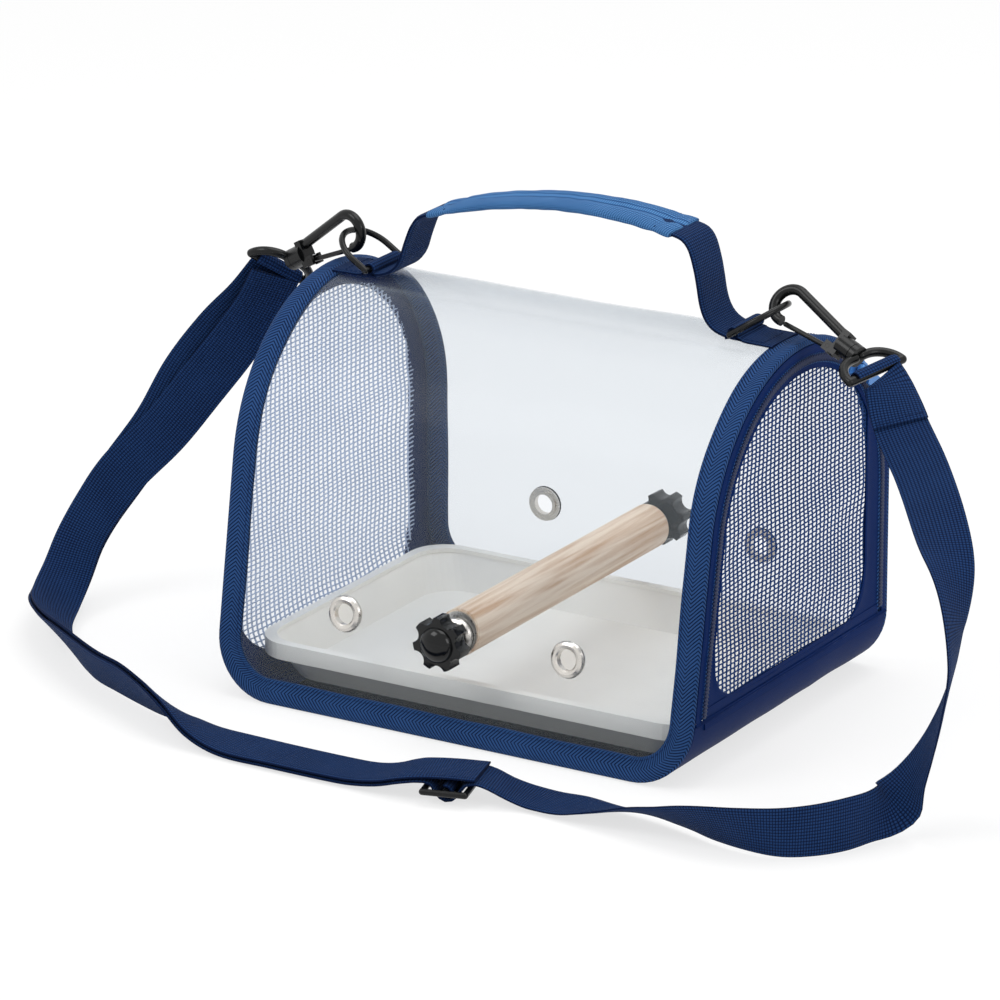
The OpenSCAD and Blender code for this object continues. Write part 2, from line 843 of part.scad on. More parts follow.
// Route of the single webbing, from the right hook to the adjuster: a point and the
// direction of the webbing's width there
single_route = [
    [[178, -3, 175], [3, 9, 1]],
    [[191, -14, 162], [6, 7, 3]],
    [[212, -34, 150], [6, 6, 4]],
    [[233, -58, 138], [4, 8, 3]],
    [[250, -78, 123], [1, 9, 1]],
    [[258, -89, 105], [-1, 9, 0]],
    [[258, -90, 85], [-3, 9, 0]],
    [[253, -88, 65], [-4, 9, 1]],
    [[245, -86, 43], [-5, 8, 3]],
    [[237, -86, 26], [-5, 6, 6]],
    [[231, -92, 15], [-3, 3, 9]],
    [[227, -104, 13], [0, 0, 9]],
    [[222, -119, 13], [0, 0, 9]],
    [[213, -133, 13], [0, -1, 9]],
    [[201, -143, 13], [0, -2, 9]],
    [[184, -148, 13], [0, -4, 9]],
    [[165, -148, 12], [0, -6, 8]],
    [[147, -145, 10], [0, -8, 6]],
    [[129, -142, 8], [0, -9, 4]],
    [[112, -141, 5], [0, -9, 2]],
    [[95, -140, 3], [0, -9, 0]],
    [[80, -139, 2], [0, -9, 0]],
    [[70, -140, 3.2], [2, -9, 0]],
    [[62, -142, 5.8], [3, -9, 0]],
    [[55, -144, 9], [3, -9, 0]],
    [[49.5, -145.4, 10.3], [3, -9, 0]],
    [[45, -147, 9], [3, -9, 0]],
    [[41, -148, 3.1], [3, -9, 0]],
    [[37, -149, 1.2], [3, -9, 0]],
    [[33, -150, 3.1], [3, -9, 0]],
    [[29, -151, 8.5], [3, -9, 0]]
];
// Route of the doubled webbing, from the adjuster to the left hook
double_route = [
    [[24, -153, 10.4], [3, -9, 0]],
    [[16, -154.3, 8.6], [2, -9, 0]],
    [[6, -155, 5.4], [1, -9, 0]],
    [[-6, -155, 3.2], [0, -9, 0]],
    [[-20, -155, 2.6], [0, -9, 0]],
    [[-50, -155, 2.6], [0, -9, 0]],
    [[-78, -154, 2.6], [0, -9, 0]],
    [[-97, -152, 5], [-1, -9, 2]],
    [[-113, -149, 10], [-3, -8, 6]],
    [[-130, -143, 12], [-2, -6, 8]],
    [[-148, -135, 13], [-2, -5, 9]],
    [[-166, -127, 13], [-2, -5, 9]],
    [[-185, -117, 13], [-1, -5, 9]],
    [[-205, -103, 13], [-2, -5, 8]],
    [[-224, -87, 12], [-4, -5, 7]],
    [[-240, -69, 11], [-6, -4, 6]],
    [[-254, -51, 11], [-8, -3, 4]],
    [[-263, -37, 19], [-9, -2, 2]],
    [[-266, -28, 32], [-9, -1, 2]],
    [[-263, -20, 47], [-9, -1, 3]],
    [[-252, -12, 65], [-8, -2, 5]],
    [[-236, -3, 87], [-8, -2, 6]],
    [[-218, 5, 112], [-7, -3, 6]],
    [[-200, 12, 134], [-6, -4, 6]],
    [[-182, 20, 153], [-5, -6, 5]]
];
return_start = [36, -149, 10.2];  // where the upper ply leaves the adjuster's middle bar
ply_gap = 1.5;                 // half the spacing of the two plies where they lie together
ply_gap_hook = 3.5;            // the same where they part to go round the eye's bar

function along(points, i) = unit(
    points[min(i + 1, len(points) - 1)] - points[max(i - 1, 0)]
);

// One ring of the flat webbing: a thin rectangle with cut corners, eight points
function web_ring(p, t, w) = let(
    a = flat(w, t),
    n = cross(t, a),
    half = web_w / 2,
    thin = web_t / 2,
    cut = 1
) [
    p + half * a + 0.3 * thin * n,
    p + (half - cut) * a + thin * n,
    p - (half - cut) * a + thin * n,
    p - half * a + 0.3 * thin * n,
    p - half * a - 0.3 * thin * n,
    p - (half - cut) * a - thin * n,
    p + (half - cut) * a - thin * n,
    p + half * a - 0.3 * thin * n
];

// A flat webbing through points, with the direction of its width at each
module webbing(points, widths) {
    n = len(points);
    rings = [for (i = [0 : n - 1]) each web_ring(points[i], along(points, i), widths[i])];
    // the two broad faces are split along the same diagonal, so a twist keeps its thickness
    sides = [for (i = [0 : n - 2]) for (j = [0 : 7]) let(
        a = i * 8 + j,
        b = i * 8 + (j + 1) % 8
    ) each j < 4
        ? [[b, a, a + 8], [b + 8, b, a + 8]]
        : [[b, a, b + 8], [b + 8, a, a + 8]]
    ];
    start = [[for (j = [0 : 7]) j]];
    end = [[for (j = [7 : -1 : 0]) (n - 1) * 8 + j]];
    polyhedron(points = rings, faces = concat(sides, start, end));
}

loop_out = eye_rod + run + web_t;
first_point = with_bag(single_route[0][0]);
last_point = with_bag(double_route[len(double_route) - 1][0]);
right_start = right_eye + (loop_out + 0.7) * flat(first_point - right_eye, right_e);
left_in = left_eye + (loop_out - 0.4) * unit(last_point - left_eye);
double_line = concat([for (r = double_route) [with_bag(r[0]), r[1]]], [[left_in, -left_e]]);

// The doubled line's points moved off their middle by k ply gaps, which open at the hook
function ply(k) = let(
    n = len(double_line),
    base = [for (r = double_line) r[0]]
) [
    for (i = [0 : n - 1]) let(
        t = along(base, i),
        a = flat(double_line[i][1], t),
        open = ply_gap + (ply_gap_hook - ply_gap) * max(0, (i - n + 5) / 4)
    ) base[i] + k * open * cross(t, a)
];

module strap_main() color(cloth) webbing(
    concat([right_start], [for (r = single_route) with_bag(r[0])], ply(-1)),
    concat([right_e], [for (r = single_route) r[1]], [for (r = double_line) r[1]])
);

module strap_return() color(cloth) webbing(
    concat([with_bag(return_start)], ply(1)),
    concat([double_route[0][1]], [for (r = double_line) r[1]])
);

// ---- strap adjuster: a frame with a middle bar, across the strap

adjuster_at = with_bag([37, -149, 6]);
adjuster_run = [-53, -15, 0];
adjuster_rod = 1.5;
adjuster_half = web_w / 2 + 3;
adjuster_reach = 10;

module in_adjuster() in_axes(
    adjuster_at, adjuster_run, [-adjuster_run[1], adjuster_run[0], 0]
) children();

module strap_adjuster() color(black) in_adjuster() {
    for (x = [-1, 0, 1]) rod(
        [x * adjuster_reach, -adjuster_half], [x * adjuster_reach, adjuster_half], adjuster_rod
    );
    for (y = [-1, 1]) rod(
        [-adjuster_reach, y * adjuster_half], [adjuster_reach, y * adjuster_half], adjuster_rod
    );
}

module adjuster_loop() color(cloth) in_adjuster() rotate([90, 0, 0]) difference() {
    cylinder(r = adjuster_rod + run + web_t, h = web_w, center = true);
    cylinder(r = adjuster_rod + run, h = web_w + 2, center = true);
}

// ---- handle

fold_pivot_z = body_h + handle_fold_h;
grip_end_z = body_h + grip_end_h;
grip_r = (pow(grip_half, 2) + pow(grip_rise, 2)) / (2 * grip_rise);
grip_mid_z = grip_end_z + grip_rise - grip_r;
grip_a = asin(grip_half / grip_r);
foot_top = body_h + 2 * web_t;
grip_slack = 0.06;             // room between the webbing and the grip round it

// Points of the handle's line, in X and Z, from the right foot over the grip to the left
handle_line = concat(
    [[handle_foot_x + 2, foot_top + 0.4], [handle_foot_x - 4, fold_pivot_z - 8.5],
     [handle_foot_x - 9, fold_pivot_z - 1], [handle_foot_x - 12, grip_end_z - 14],
     [handle_foot_x - 19, grip_end_z - 2]],
    [for (a = [grip_a : -grip_a / 8 : -grip_a]) [grip_r * sin(a), grip_mid_z + grip_r * cos(a)]],
    [[-(handle_foot_x - 19), grip_end_z - 2], [-(handle_foot_x - 12), grip_end_z - 14],
     [-(handle_foot_x - 9), fold_pivot_z - 1], [-(handle_foot_x - 4), fold_pivot_z - 8.5],
     [-(handle_foot_x + 2), foot_top + 0.4]]
);

function side_step(line, i) = let(
    d = unit(line[min(i + 1, len(line) - 1)] - line[max(i - 1, 0)])
) [d[1], -d[0]];

// A band of thickness t along the handle's line
module handle_band(t) polygon(concat(
    [for (i = [0 : len(handle_line) - 1]) handle_line[i] + t / 2 * side_step(handle_line, i)],
    [for (i = [len(handle_line) - 1 : -1 : 0]) handle_line[i] - t / 2 * side_step(handle_line, i)]
));

module handle_webbing() color(cloth) intersection() {
    along_y(web_y0, web_y0 + web_w) handle_band(web_t);
    union() {
        translate([-far, -far, fold_pivot_z]) cube([2 * far, 2 * far, far]);
        translate([-far, arch_y, fold_pivot_z]) rotate([0, 90, 0])
            cylinder(r = handle_fold_h - 2 * web_t - 0.2, h = 2 * far);
    }
}

// The webbing's ends, laid flat on the ridge and sewn down
module handle_feet() color(cloth) intersection() {
    tunnel(-2 * web_t, 0, -far, far);
    for (s = [-1, 1]) translate([s * (handle_foot_x - 1) - 5, web_y0, 0]) cube([10, web_w, far]);
}

module handle_grip() color(cloth_light) translate([0, arch_y, grip_mid_z]) rotate([90, 0, 0])
    rotate([0, 0, 90 - grip_a]) rotate_extrude(angle = 2 * grip_a, $fn = 160) difference() {
        translate([grip_r, 0]) {
            for (t = [-1, 1]) translate([0, t * (grip_w - grip_t) / 2]) circle(grip_t / 2);
            square([grip_t - 2, grip_w - grip_t], center = true);
        }
        translate([grip_r, 0]) square([web_t + 2 * grip_slack, web_w + 2 * grip_slack], center = true);
    }

clear_sheet();
binding_left();
binding_right();
binding_front();
binding_rear();
hoop_wire_left();
hoop_wire_right();
base_panel();
base_board();
left_end_panel();
left_mesh();
right_end_frame();
zip_coil_fixed();
tray();
front_eyelets();
rear_eyelets();
front_eyelet_washers();
rear_eyelet_washers();
perch();
perch_inserts();
perch_washers();
front_knob();
front_knob_stud();
rear_knob();
rear_knob_stud();
left_ring_tab();
right_ring_tab();
left_d_ring();
right_d_ring();
left_hook_body();
left_hook_gate();
left_gate_spring();
left_hook_eye();
right_hook_body();
right_hook_gate();
right_gate_spring();
right_hook_eye();
strap_main();
strap_return();
strap_loop_left();
strap_loop_right();
strap_adjuster();
adjuster_loop();
door_panel();
door_mesh();
zip_coil_door();
zip_slider();
zip_pull();
handle_feet();
handle_webbing();
handle_grip();
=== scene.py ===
"""Dresses the bird travel carrier: clear vinyl, fabric, webbing, mesh, wood, metal and plastic."""

import json
import logging
import math
from dataclasses import dataclass, field
from enum import Enum
from typing import Any, Sequence

import bpy
import numpy as np
from mathutils import Matrix, Vector, noise

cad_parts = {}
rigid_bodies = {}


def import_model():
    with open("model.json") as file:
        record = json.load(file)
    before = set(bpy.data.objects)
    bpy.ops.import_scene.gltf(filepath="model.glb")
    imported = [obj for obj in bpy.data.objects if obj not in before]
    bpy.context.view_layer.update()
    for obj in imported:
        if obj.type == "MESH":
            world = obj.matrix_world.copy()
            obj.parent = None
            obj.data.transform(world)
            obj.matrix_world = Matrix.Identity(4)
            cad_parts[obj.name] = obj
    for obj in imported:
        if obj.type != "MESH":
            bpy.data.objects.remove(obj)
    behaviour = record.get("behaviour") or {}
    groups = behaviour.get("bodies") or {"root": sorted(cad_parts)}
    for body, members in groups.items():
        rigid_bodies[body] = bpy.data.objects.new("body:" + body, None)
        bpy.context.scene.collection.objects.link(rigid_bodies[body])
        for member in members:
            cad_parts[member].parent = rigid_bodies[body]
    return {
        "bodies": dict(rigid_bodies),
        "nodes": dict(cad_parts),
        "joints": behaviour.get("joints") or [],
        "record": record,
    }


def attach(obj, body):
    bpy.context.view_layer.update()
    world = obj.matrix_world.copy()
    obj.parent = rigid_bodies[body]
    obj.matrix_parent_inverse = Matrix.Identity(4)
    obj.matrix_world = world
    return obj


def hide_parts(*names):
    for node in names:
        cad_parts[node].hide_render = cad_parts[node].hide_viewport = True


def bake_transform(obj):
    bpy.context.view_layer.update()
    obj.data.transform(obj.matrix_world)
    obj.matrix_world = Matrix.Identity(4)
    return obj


LOG = logging.getLogger("carrier")
MM = 0.001
Point = tuple[float, float, float]
Socket = bpy.types.NodeSocket


# ---------------------------------------------------------------- finishes


def linear(hex_colour: str, gain: float = 1.0) -> tuple[float, float, float, float]:
    """Turns an sRGB hex colour into linear light.

    Args:
        hex_colour: six hex digits with a leading #.
        gain: what the light is multiplied by.

    Returns:
        Red, green, blue and a full alpha.
    """
    parts = [int(hex_colour[i : i + 2], 16) / 255 for i in (1, 3, 5)]
    light = [c / 12.92 if c <= 0.04045 else ((c + 0.055) / 1.055) ** 2.4 for c in parts]
    return (light[0] * gain, light[1] * gain, light[2] * gain, 1.0)


class Graph:
    """The node tree of a material or a world, emptied first; only its add method adds nodes."""

    def __init__(self, tree: bpy.types.NodeTree) -> None:
        """Empties the tree."""
        self.tree = tree
        tree.nodes.clear()

    def add(
        self, kind: str, inputs: dict[Any, Any] | None = None, port: Any = 0, **settings: Any
    ) -> Any:
        """Adds one node with its settings, and fills or links its inputs.

        Args:
            kind: the node's type name after ShaderNode.
            inputs: socket name or number to a value or to another node's output.
            port: name or number of the output that is wanted.
            **settings: properties set on the node.

        Returns:
            The wanted output, or None where the node has none.
        """
        made = self.tree.nodes.new("ShaderNode" + kind)
        for name, value in settings.items():
            setattr(made, name, value)
        for key, value in (inputs or {}).items():
            if isinstance(value, Socket):
                self.tree.links.new(value, made.inputs[key])
            else:
                made.inputs[key].default_value = value
        return made.outputs[port] if len(made.outputs) else None

    def math(self, operation: str, *values: Any, clamp: bool = False) -> Socket:
        """Works out up to three values."""
        return self.add("Math", dict(enumerate(values)), operation=operation, use_clamp=clamp)

    def wave(self, place: Socket, pitch: float) -> Socket:
        """Draws rounded ridges, one for each pitch."""
        turn = self.math("MULTIPLY", place, math.pi / pitch)
        return self.math("ABSOLUTE", self.math("SINE", turn))

    def noise(
        self, scale: float, detail: float, stretch: Point | None = None, twist: float = 0.0
    ) -> Socket:
        """Draws a noise in the piece's own coordinates.

        Args:
            scale: its scale, for metres.
            detail: its detail.
            stretch: a scale for each axis, where the noise is stretched.
            twist: its distortion.

        Returns:
            The noise, near 0.5.
        """
        place = self.add("TexCoord", port="Object")
        if stretch:
            place = self.add("Mapping", {"Vector": place, "Scale": stretch})
        values = {"Vector": place, "Scale": scale, "Detail": detail, "Distortion": twist}
        return self.add("TexNoise", values)

    def tone(self, level: Socket, *stops: tuple[float, str]) -> Socket:
        """Colours a level by a ramp.

        Args:
            level: the level.
            *stops: two stops, each a place and a hex colour.

        Returns:
            The colour.
        """
        colour = self.add("ValToRGB", {0: level})
        for element, (place, shade) in zip(colour.node.color_ramp.elements, stops):
            element.position = place
            element.color = linear(shade)
        return colour

    def bump(self, height: Socket, strength: float, depth: float) -> Socket:
        """Turns a height into relief of a depth in millimetres."""
        return self.add("Bump", {"Height": height, "Strength": strength, "Distance": depth * MM})

    def end(self, shader: Socket, kind: str = "Material") -> None:
        """Ends the tree with its output."""
        self.add("Output" + kind, {0: shader})


def new_material(name: str) -> tuple[bpy.types.Material, Graph]:
    """Makes an empty node material.

    Args:
        name: the finish's name.

    Returns:
        The material and its graph.
    """
    material = bpy.data.materials.new(name)
    material.use_nodes = True
    return material, Graph(material.node_tree)


class Weave(Enum):
    """How a cloth's threads cross, and so what its surface shows."""

    RIBBED = "ribbed webbing"
    HERRINGBONE = "herringbone tape"
    PLAIN = "plain woven nylon"
    COARSE = "coarse woven cloth"


@dataclass(frozen=True)
class Finish:
    """A finish with the real material's name; each kind of finish draws its own shader."""

    name: str

    def shader(self, graph: Graph) -> Socket:
        """Draws the shader."""
        raise NotImplementedError

    def build(self) -> bpy.types.Material:
        """Builds the material."""
        material, graph = new_material(self.name)
        graph.end(self.shader(graph))
        return material


@dataclass(frozen=True)
class Cloth(Finish):
    """A woven cloth whose pattern follows the piece's own UV map, which is in millimetres."""

    weave: Weave
    light: str
    # dark: the painted shade that fills the gaps between the threads
    dark: str
    pitch: float
    roughness: float = 0.7
    sheen: float = 0.25
    relief: float = 0.25

    def height(self, graph: Graph) -> Socket:
        """Draws the weave's height.

        Args:
            graph: the material's graph.

        Returns:
            The height, from 0 in the gaps to 1 on the threads.
        """
        uv = graph.add("UVMap", uv_map="UVMap")
        along, across = (graph.add("SeparateXYZ", {0: uv}, port=axis) for axis in (0, 1))
        if self.weave is Weave.HERRINGBONE:
            # the diagonal turns round at every half width of the tape, which gives its zigzag
            fold = graph.math("PINGPONG", across, 6.0)
            return graph.wave(graph.math("ADD", along, fold), self.pitch)
        stretch = 1.25 if self.weave is Weave.RIBBED else 1.0
        waves = (graph.wave(along, self.pitch), graph.wave(across, self.pitch * stretch))
        return graph.math("MULTIPLY", *(graph.math("POWER", wave, 0.6) for wave in waves))

    def shader(self, graph: Graph) -> Socket:
        """Draws threads with painted shade in the gaps between them, cloudy in tone and matt.

        Args:
            graph: the material's graph.

        Returns:
            The shader.
        """
        height = self.height(graph)
        level = graph.math("MULTIPLY_ADD", graph.noise(55.0, 4.0), 0.35, height)
        values = {
            # the ramp paints shade into the weave's gaps: the dark stop is painted shade, the
            # light stop the thread's own colour
            "Base Color": graph.tone(level, (0.42, self.dark), (1.0, self.light)),
            "Roughness": self.roughness,
            "Specular IOR Level": 0.03,
            "Sheen Weight": self.sheen,
            "Sheen Roughness": 0.5,
            "Normal": graph.bump(height, 0.8, self.relief),
        }
        return graph.add("BsdfPrincipled", values)


@dataclass(frozen=True)
class Moulded(Finish):
    """A moulded plastic: even colour, a faint grain from the mould and slight wear in gloss."""

    colour: str
    roughness: float
    grain_mm: float = 0.6
    relief: float = 0.02
    gloss: float = 0.5

    def shader(self, graph: Graph) -> Socket:
        """Draws the plastic, a little lighter and duller in smudges.

        Args:
            graph: the material's graph.

        Returns:
            The shader.
        """
        smudge = graph.noise(60.0, 5.0)
        duller = {0: smudge, 3: self.roughness - 0.06, 4: self.roughness + 0.08}
        lighter = {0: smudge, 1: linear(self.colour), 2: linear(self.colour, 1.12)}
        grain = graph.noise(1 / (self.grain_mm * MM), 2.0)
        values = {
            "Base Color": graph.add("MixRGB", lighter),
            "Roughness": graph.add("MapRange", duller),
            "Specular IOR Level": self.gloss,
            "Normal": graph.bump(grain, 0.5, self.relief),
        }
        return graph.add("BsdfPrincipled", values)


@dataclass(frozen=True)
class Plated(Finish):
    """A plated, bare or painted metal with fine polishing marks."""

    colour: str
    roughness: float
    metallic: float = 1.0

    def shader(self, graph: Graph) -> Socket:
        """Draws the metal, its gloss broken by the marks.

        Args:
            graph: the material's graph.

        Returns:
            The shader.
        """
        marks = graph.noise(420.0, 4.0)
        broken = {0: marks, 3: self.roughness * 0.7, 4: self.roughness * 1.5}
        values = {
            "Base Color": linear(self.colour),
            "Metallic": self.metallic,
            "Roughness": graph.add("MapRange", broken),
            "Normal": graph.bump(marks, 0.15, 0.02),
        }
        return graph.add("BsdfPrincipled", values)


@dataclass(frozen=True)
class TurnedBeech(Finish):
    """Pale turned beech, oiled: fine darker lines along the dowel and a soft satin gloss."""

    name: str = "turned_beech"
    light: str = "#f4dfc8"
    dark: str = "#cfa987"

    def shader(self, graph: Graph) -> Socket:
        """Draws the wood: the grain runs along Y and its lines are about 1.5 mm apart.

        Args:
            graph: the material's graph.

        Returns:
            The shader.
        """
        grain = graph.noise(1.0, 5.0, (330.0, 14.0, 330.0), 0.4)
        tone = graph.tone(grain, (0.32, self.dark), (0.58, self.light))
        values = {"Base Color": tone, "Roughness": 0.5, "Normal": graph.bump(grain, 0.4, 0.1)}
        return graph.add("BsdfPrincipled", values)


@dataclass(frozen=True)
class ClearVinyl(Finish):
    """Soft clear PVC film: see-through, glossy at a low angle, with a faint milky haze."""

    name: str = "clear_pvc_film"
    haze: float = 0.04

    def shader(self, graph: Graph) -> Socket:
        """Draws the film.

        It is as clear from its inner as from its outer face, so its gloss follows how far it
        is turned, and not a Fresnel term that turns to a mirror on the way out.

        Args:
            graph: the material's graph.

        Returns:
            The shader.
        """
        waves = graph.bump(graph.noise(9.0, 1.5), 0.3, 3.0)
        values = {"Base Color": linear("#c2cad0"), "Roughness": 0.12, "IOR": 1.53, "Normal": waves}
        gloss = graph.add("BsdfPrincipled", values)
        clear = graph.add("BsdfTransparent", {0: linear("#fafbfc")})
        turned = graph.add("LayerWeight", {"Blend": 0.5, "Normal": waves}, port="Facing")
        rise = graph.math("POWER", turned, 4.0)
        share = graph.math("MULTIPLY_ADD", rise, 0.5, self.haze, clamp=True)
        return graph.add("MixShader", {0: share, 1: clear, 2: gloss})


FINISHES: dict[str, Finish] = {
    # each cloth's second colour is the painted shade in the gaps of its weave
    # navy nylon webbing, woven in ribs 1.25 mm apart: small raised squares in rows
    "webbing": Cloth("nylon_webbing", Weave.RIBBED, "#1e3965", "#081634", 1.25, 0.66, 0.02, 0.5),
    # polyester edge tape in herringbone: diagonal lines 1.9 mm apart
    "edge_tape": Cloth(
        "herringbone_tape", Weave.HERRINGBONE, "#2b4b7c", "#061735", 1.9, 0.62, 0.02, 0.4
    ),
    # smooth coated nylon of the ends and the base: its weave of 0.9 mm hardly shows
    "gusset_cloth": Cloth("coated_nylon", Weave.PLAIN, "#08255a", "#041a46", 0.9, 0.5, 0.0, 0.03),
    # the blue cloth that is folded round the handle, woven coarsely, 1.2 mm
    "grip_cloth": Cloth("grip_cloth", Weave.COARSE, "#5183b8", "#1a4274", 1.2, 0.66, 0.03, 0.4),
    # bonded polyester sewing thread, dark blue
    "thread": Moulded("sewing_thread", "#0c2148", 0.6, 0.3, gloss=0.1),
    # polyester net of the windows, matt; the far one is the same net painted paler: painted light
    # for how it shows, lit from behind, through the film
    "mesh": Moulded("polyester_net", "#183566", 0.62, 0.4, gloss=0.1),
    "mesh_far_painted_light": Moulded("polyester_net_painted_light", "#b4c2dc", 0.62, 0.4, gloss=0.1),
    # nylon coil of the zip
    "zip_coil": Moulded("nylon_coil", "#0a1b40", 0.42, 0.4, gloss=0.25),
    # light grey polypropylene tray, moulded, satin
    "tray_plastic": Moulded("polypropylene_tray", "#f0eee8", 0.42, 0.8, 0.03),
    # stiff black board under the tray
    "board": Moulded("fibre_board", "#141417", 0.8, 0.5, 0.05, gloss=0.15),
    # black acetal of the hooks, rings and adjuster, satin from the mould
    "hook_plastic": Moulded("acetal", "#0c0d0e", 0.25, 0.5, 0.02, gloss=0.25),
    # glossy black ABS of the star knobs
    "knob_plastic": Moulded("abs_gloss", "#08090a", 0.14, 0.9, 0.01, gloss=0.3),
    # blue paint on the cast zinc of the slider and its pull
    "slider_paint": Plated("painted_zinc", "#3f78b8", 0.32, 0.35),
    # bright nickel on the eyelets and washers, then the bare and plated steels and the brass
    "nickel": Plated("nickel_plate", "#cfcbc5", 0.26),
    "hoop_steel": Plated("spring_steel", "#a8a9ab", 0.35),
    "stud_steel": Plated("zinc_plated_steel", "#b6b7b9", 0.3),
    "leaf_steel": Plated("steel_leaf", "#b0b1b3", 0.3),
    "insert_brass": Plated("brass_insert", "#c8a45a", 0.3),
    "perch_wood": TurnedBeech(),
    "vinyl": ClearVinyl(),
}


# ---------------------------------------------------------------- mesh helpers


def deselect() -> None:
    """Leaves edit mode and deselects everything."""
    if bpy.context.object is not None and bpy.context.object.mode != "OBJECT":
        bpy.ops.object.mode_set(mode="OBJECT")
    bpy.ops.object.select_all(action="DESELECT")


def pick(piece: bpy.types.Object) -> None:
    """Makes a piece the only selected object and the active one."""
    deselect()
    piece.select_set(True)
    bpy.context.view_layer.objects.active = piece


def apply_modifier(piece: bpy.types.Object, kind: str, **settings: Any) -> None:
    """Adds a modifier to a piece and applies it.

    Args:
        piece: the object.
        kind: the modifier's type.
        **settings: the modifier's properties.
    """
    modifier = piece.modifiers.new(kind.lower(), kind)
    for name, value in settings.items():
        setattr(modifier, name, value)
    pick(piece)
    bpy.ops.object.modifier_apply(modifier=modifier.name)


def smooth(piece: bpy.types.Object, angle: float = 40.0) -> None:
    """Shades a piece smooth, except across edges sharper than an angle in degrees."""
    pick(piece)
    bpy.ops.object.shade_smooth_by_angle(angle=math.radians(angle))


def recalculate(piece: bpy.types.Object, merge: bool = True) -> None:
    """Turns a closed piece's faces outwards.

    Args:
        piece: the piece.
        merge: True to merge points that touch.
    """
    pick(piece)
    bpy.ops.object.mode_set(mode="EDIT")
    bpy.ops.mesh.select_all(action="SELECT")
    if merge:
        bpy.ops.mesh.remove_doubles(threshold=1e-6)
    bpy.ops.mesh.normals_make_consistent(inside=False)
    bpy.ops.object.mode_set(mode="OBJECT")


def make_mesh(
    name: str, points: np.ndarray, faces: Sequence[Sequence[int]], uvs: np.ndarray | None = None
) -> bpy.types.Object:
    """Makes a mesh object from points in millimetres.

    Args:
        name: the piece's name.
        points: one row of x, y, z for each vertex.
        faces: vertex numbers of each face.
        uvs: one row of u, v for each vertex, in millimetres, or None.

    Returns:
        The object, linked to the scene.
    """
    mesh = bpy.data.meshes.new(name)
    mesh.from_pydata((np.asarray(points) * MM).tolist(), [], [list(f) for f in faces])
    if uvs is not None:
        layer = mesh.uv_layers.new(name="UVMap")
        index = np.zeros(len(mesh.loops), dtype=np.int32)
        mesh.loops.foreach_get("vertex_index", index)
        layer.data.foreach_set("uv", np.asarray(uvs, dtype=np.float32)[index].ravel())
    mesh.update()
    piece = bpy.data.objects.new(name, mesh)
    bpy.context.scene.collection.objects.link(piece)
    return piece


def make_solid(
    name: str, points: Any, faces: Any, angle: float, uvs: Any = None, merge: bool = True
) -> bpy.types.Object:
    """Makes a closed mesh that faces outwards and is shaded smooth.

    Args:
        name: the piece's name.
        points: its points, in millimetres.
        faces: vertex numbers of each face.
        angle: edges sharper than this, in degrees, stay sharp.
        uvs: one row of u, v for each vertex, or None.
        merge: True to merge points that touch.

    Returns:
        The piece.
    """
    piece = make_mesh(name, points, faces, uvs)
    recalculate(piece, merge)
    smooth(piece, angle)
    return piece


def grid_faces(rows: int, columns: int, wrap: bool = False, caps: bool = False) -> list[list[int]]:
    """Faces of a grid of points, row after row.

    Args:
        rows: number of rows.
        columns: number of points in a row.
        wrap: True if each row closes on itself.
        caps: True to close the first and the last row with a face.

    Returns:
        The faces.
    """
    faces = []
    span = columns if wrap else columns - 1
    for i in range(rows - 1):
        for j in range(span):
            k = (j + 1) % columns
            faces.append(
                [i * columns + j, i * columns + k, (i + 1) * columns + k, (i + 1) * columns + j]
            )
    if caps:
        faces.append(list(range(columns))[::-1])
        faces.append([(rows - 1) * columns + j for j in range(columns)])
    return faces


def unit(vectors: np.ndarray) -> np.ndarray:
    """Makes vectors one long, row by row."""
    vectors = np.asarray(vectors, dtype=float)
    return vectors / np.maximum(np.linalg.norm(vectors, axis=-1, keepdims=True), 1e-12)


def tangents(path: np.ndarray) -> np.ndarray:
    """Directions along a path at its points."""
    return unit(np.gradient(path, axis=0))


def distance_along(path: np.ndarray) -> np.ndarray:
    """Length run at each point of a path, from its start."""
    steps = np.linalg.norm(np.diff(path, axis=0), axis=1)
    return np.concatenate([[0.0], np.cumsum(steps)])


def resample(path: np.ndarray, step: float, extra: np.ndarray | None = None) -> Any:
    """Passes a smooth curve through points and samples it evenly.

    Args:
        path: the points it passes through.
        step: distance between samples, in millimetres.
        extra: further values at each point, smoothed in the same way.

    Returns:
        The sampled points, and the sampled extra values where they are given.
    """
    values = path if extra is None else np.hstack([path, extra])
    padded = np.vstack([2 * values[0] - values[1], values, 2 * values[-1] - values[-2]])
    curve = []
    for i in range(1, len(padded) - 2):
        p0, p1, p2, p3 = padded[i - 1 : i + 3]
        for t in np.linspace(0, 1, 16, endpoint=False):
            curve.append(
                0.5 * (
                    2 * p1 + (p2 - p0) * t + (2 * p0 - 5 * p1 + 4 * p2 - p3) * t**2 + (
                        3 * p1 - p0 - 3 * p2 + p3
                    ) * t**3
                )
            )
    curve = np.array(curve + [padded[-2]])
    run = distance_along(curve[:, :3])
    places = np.linspace(0, run[-1], max(2, int(round(run[-1] / step)) + 1))
    sampled = np.stack([np.interp(places, run, c) for c in curve.T], axis=1)
    return sampled if extra is None else (sampled[:, :3], sampled[:, 3:])


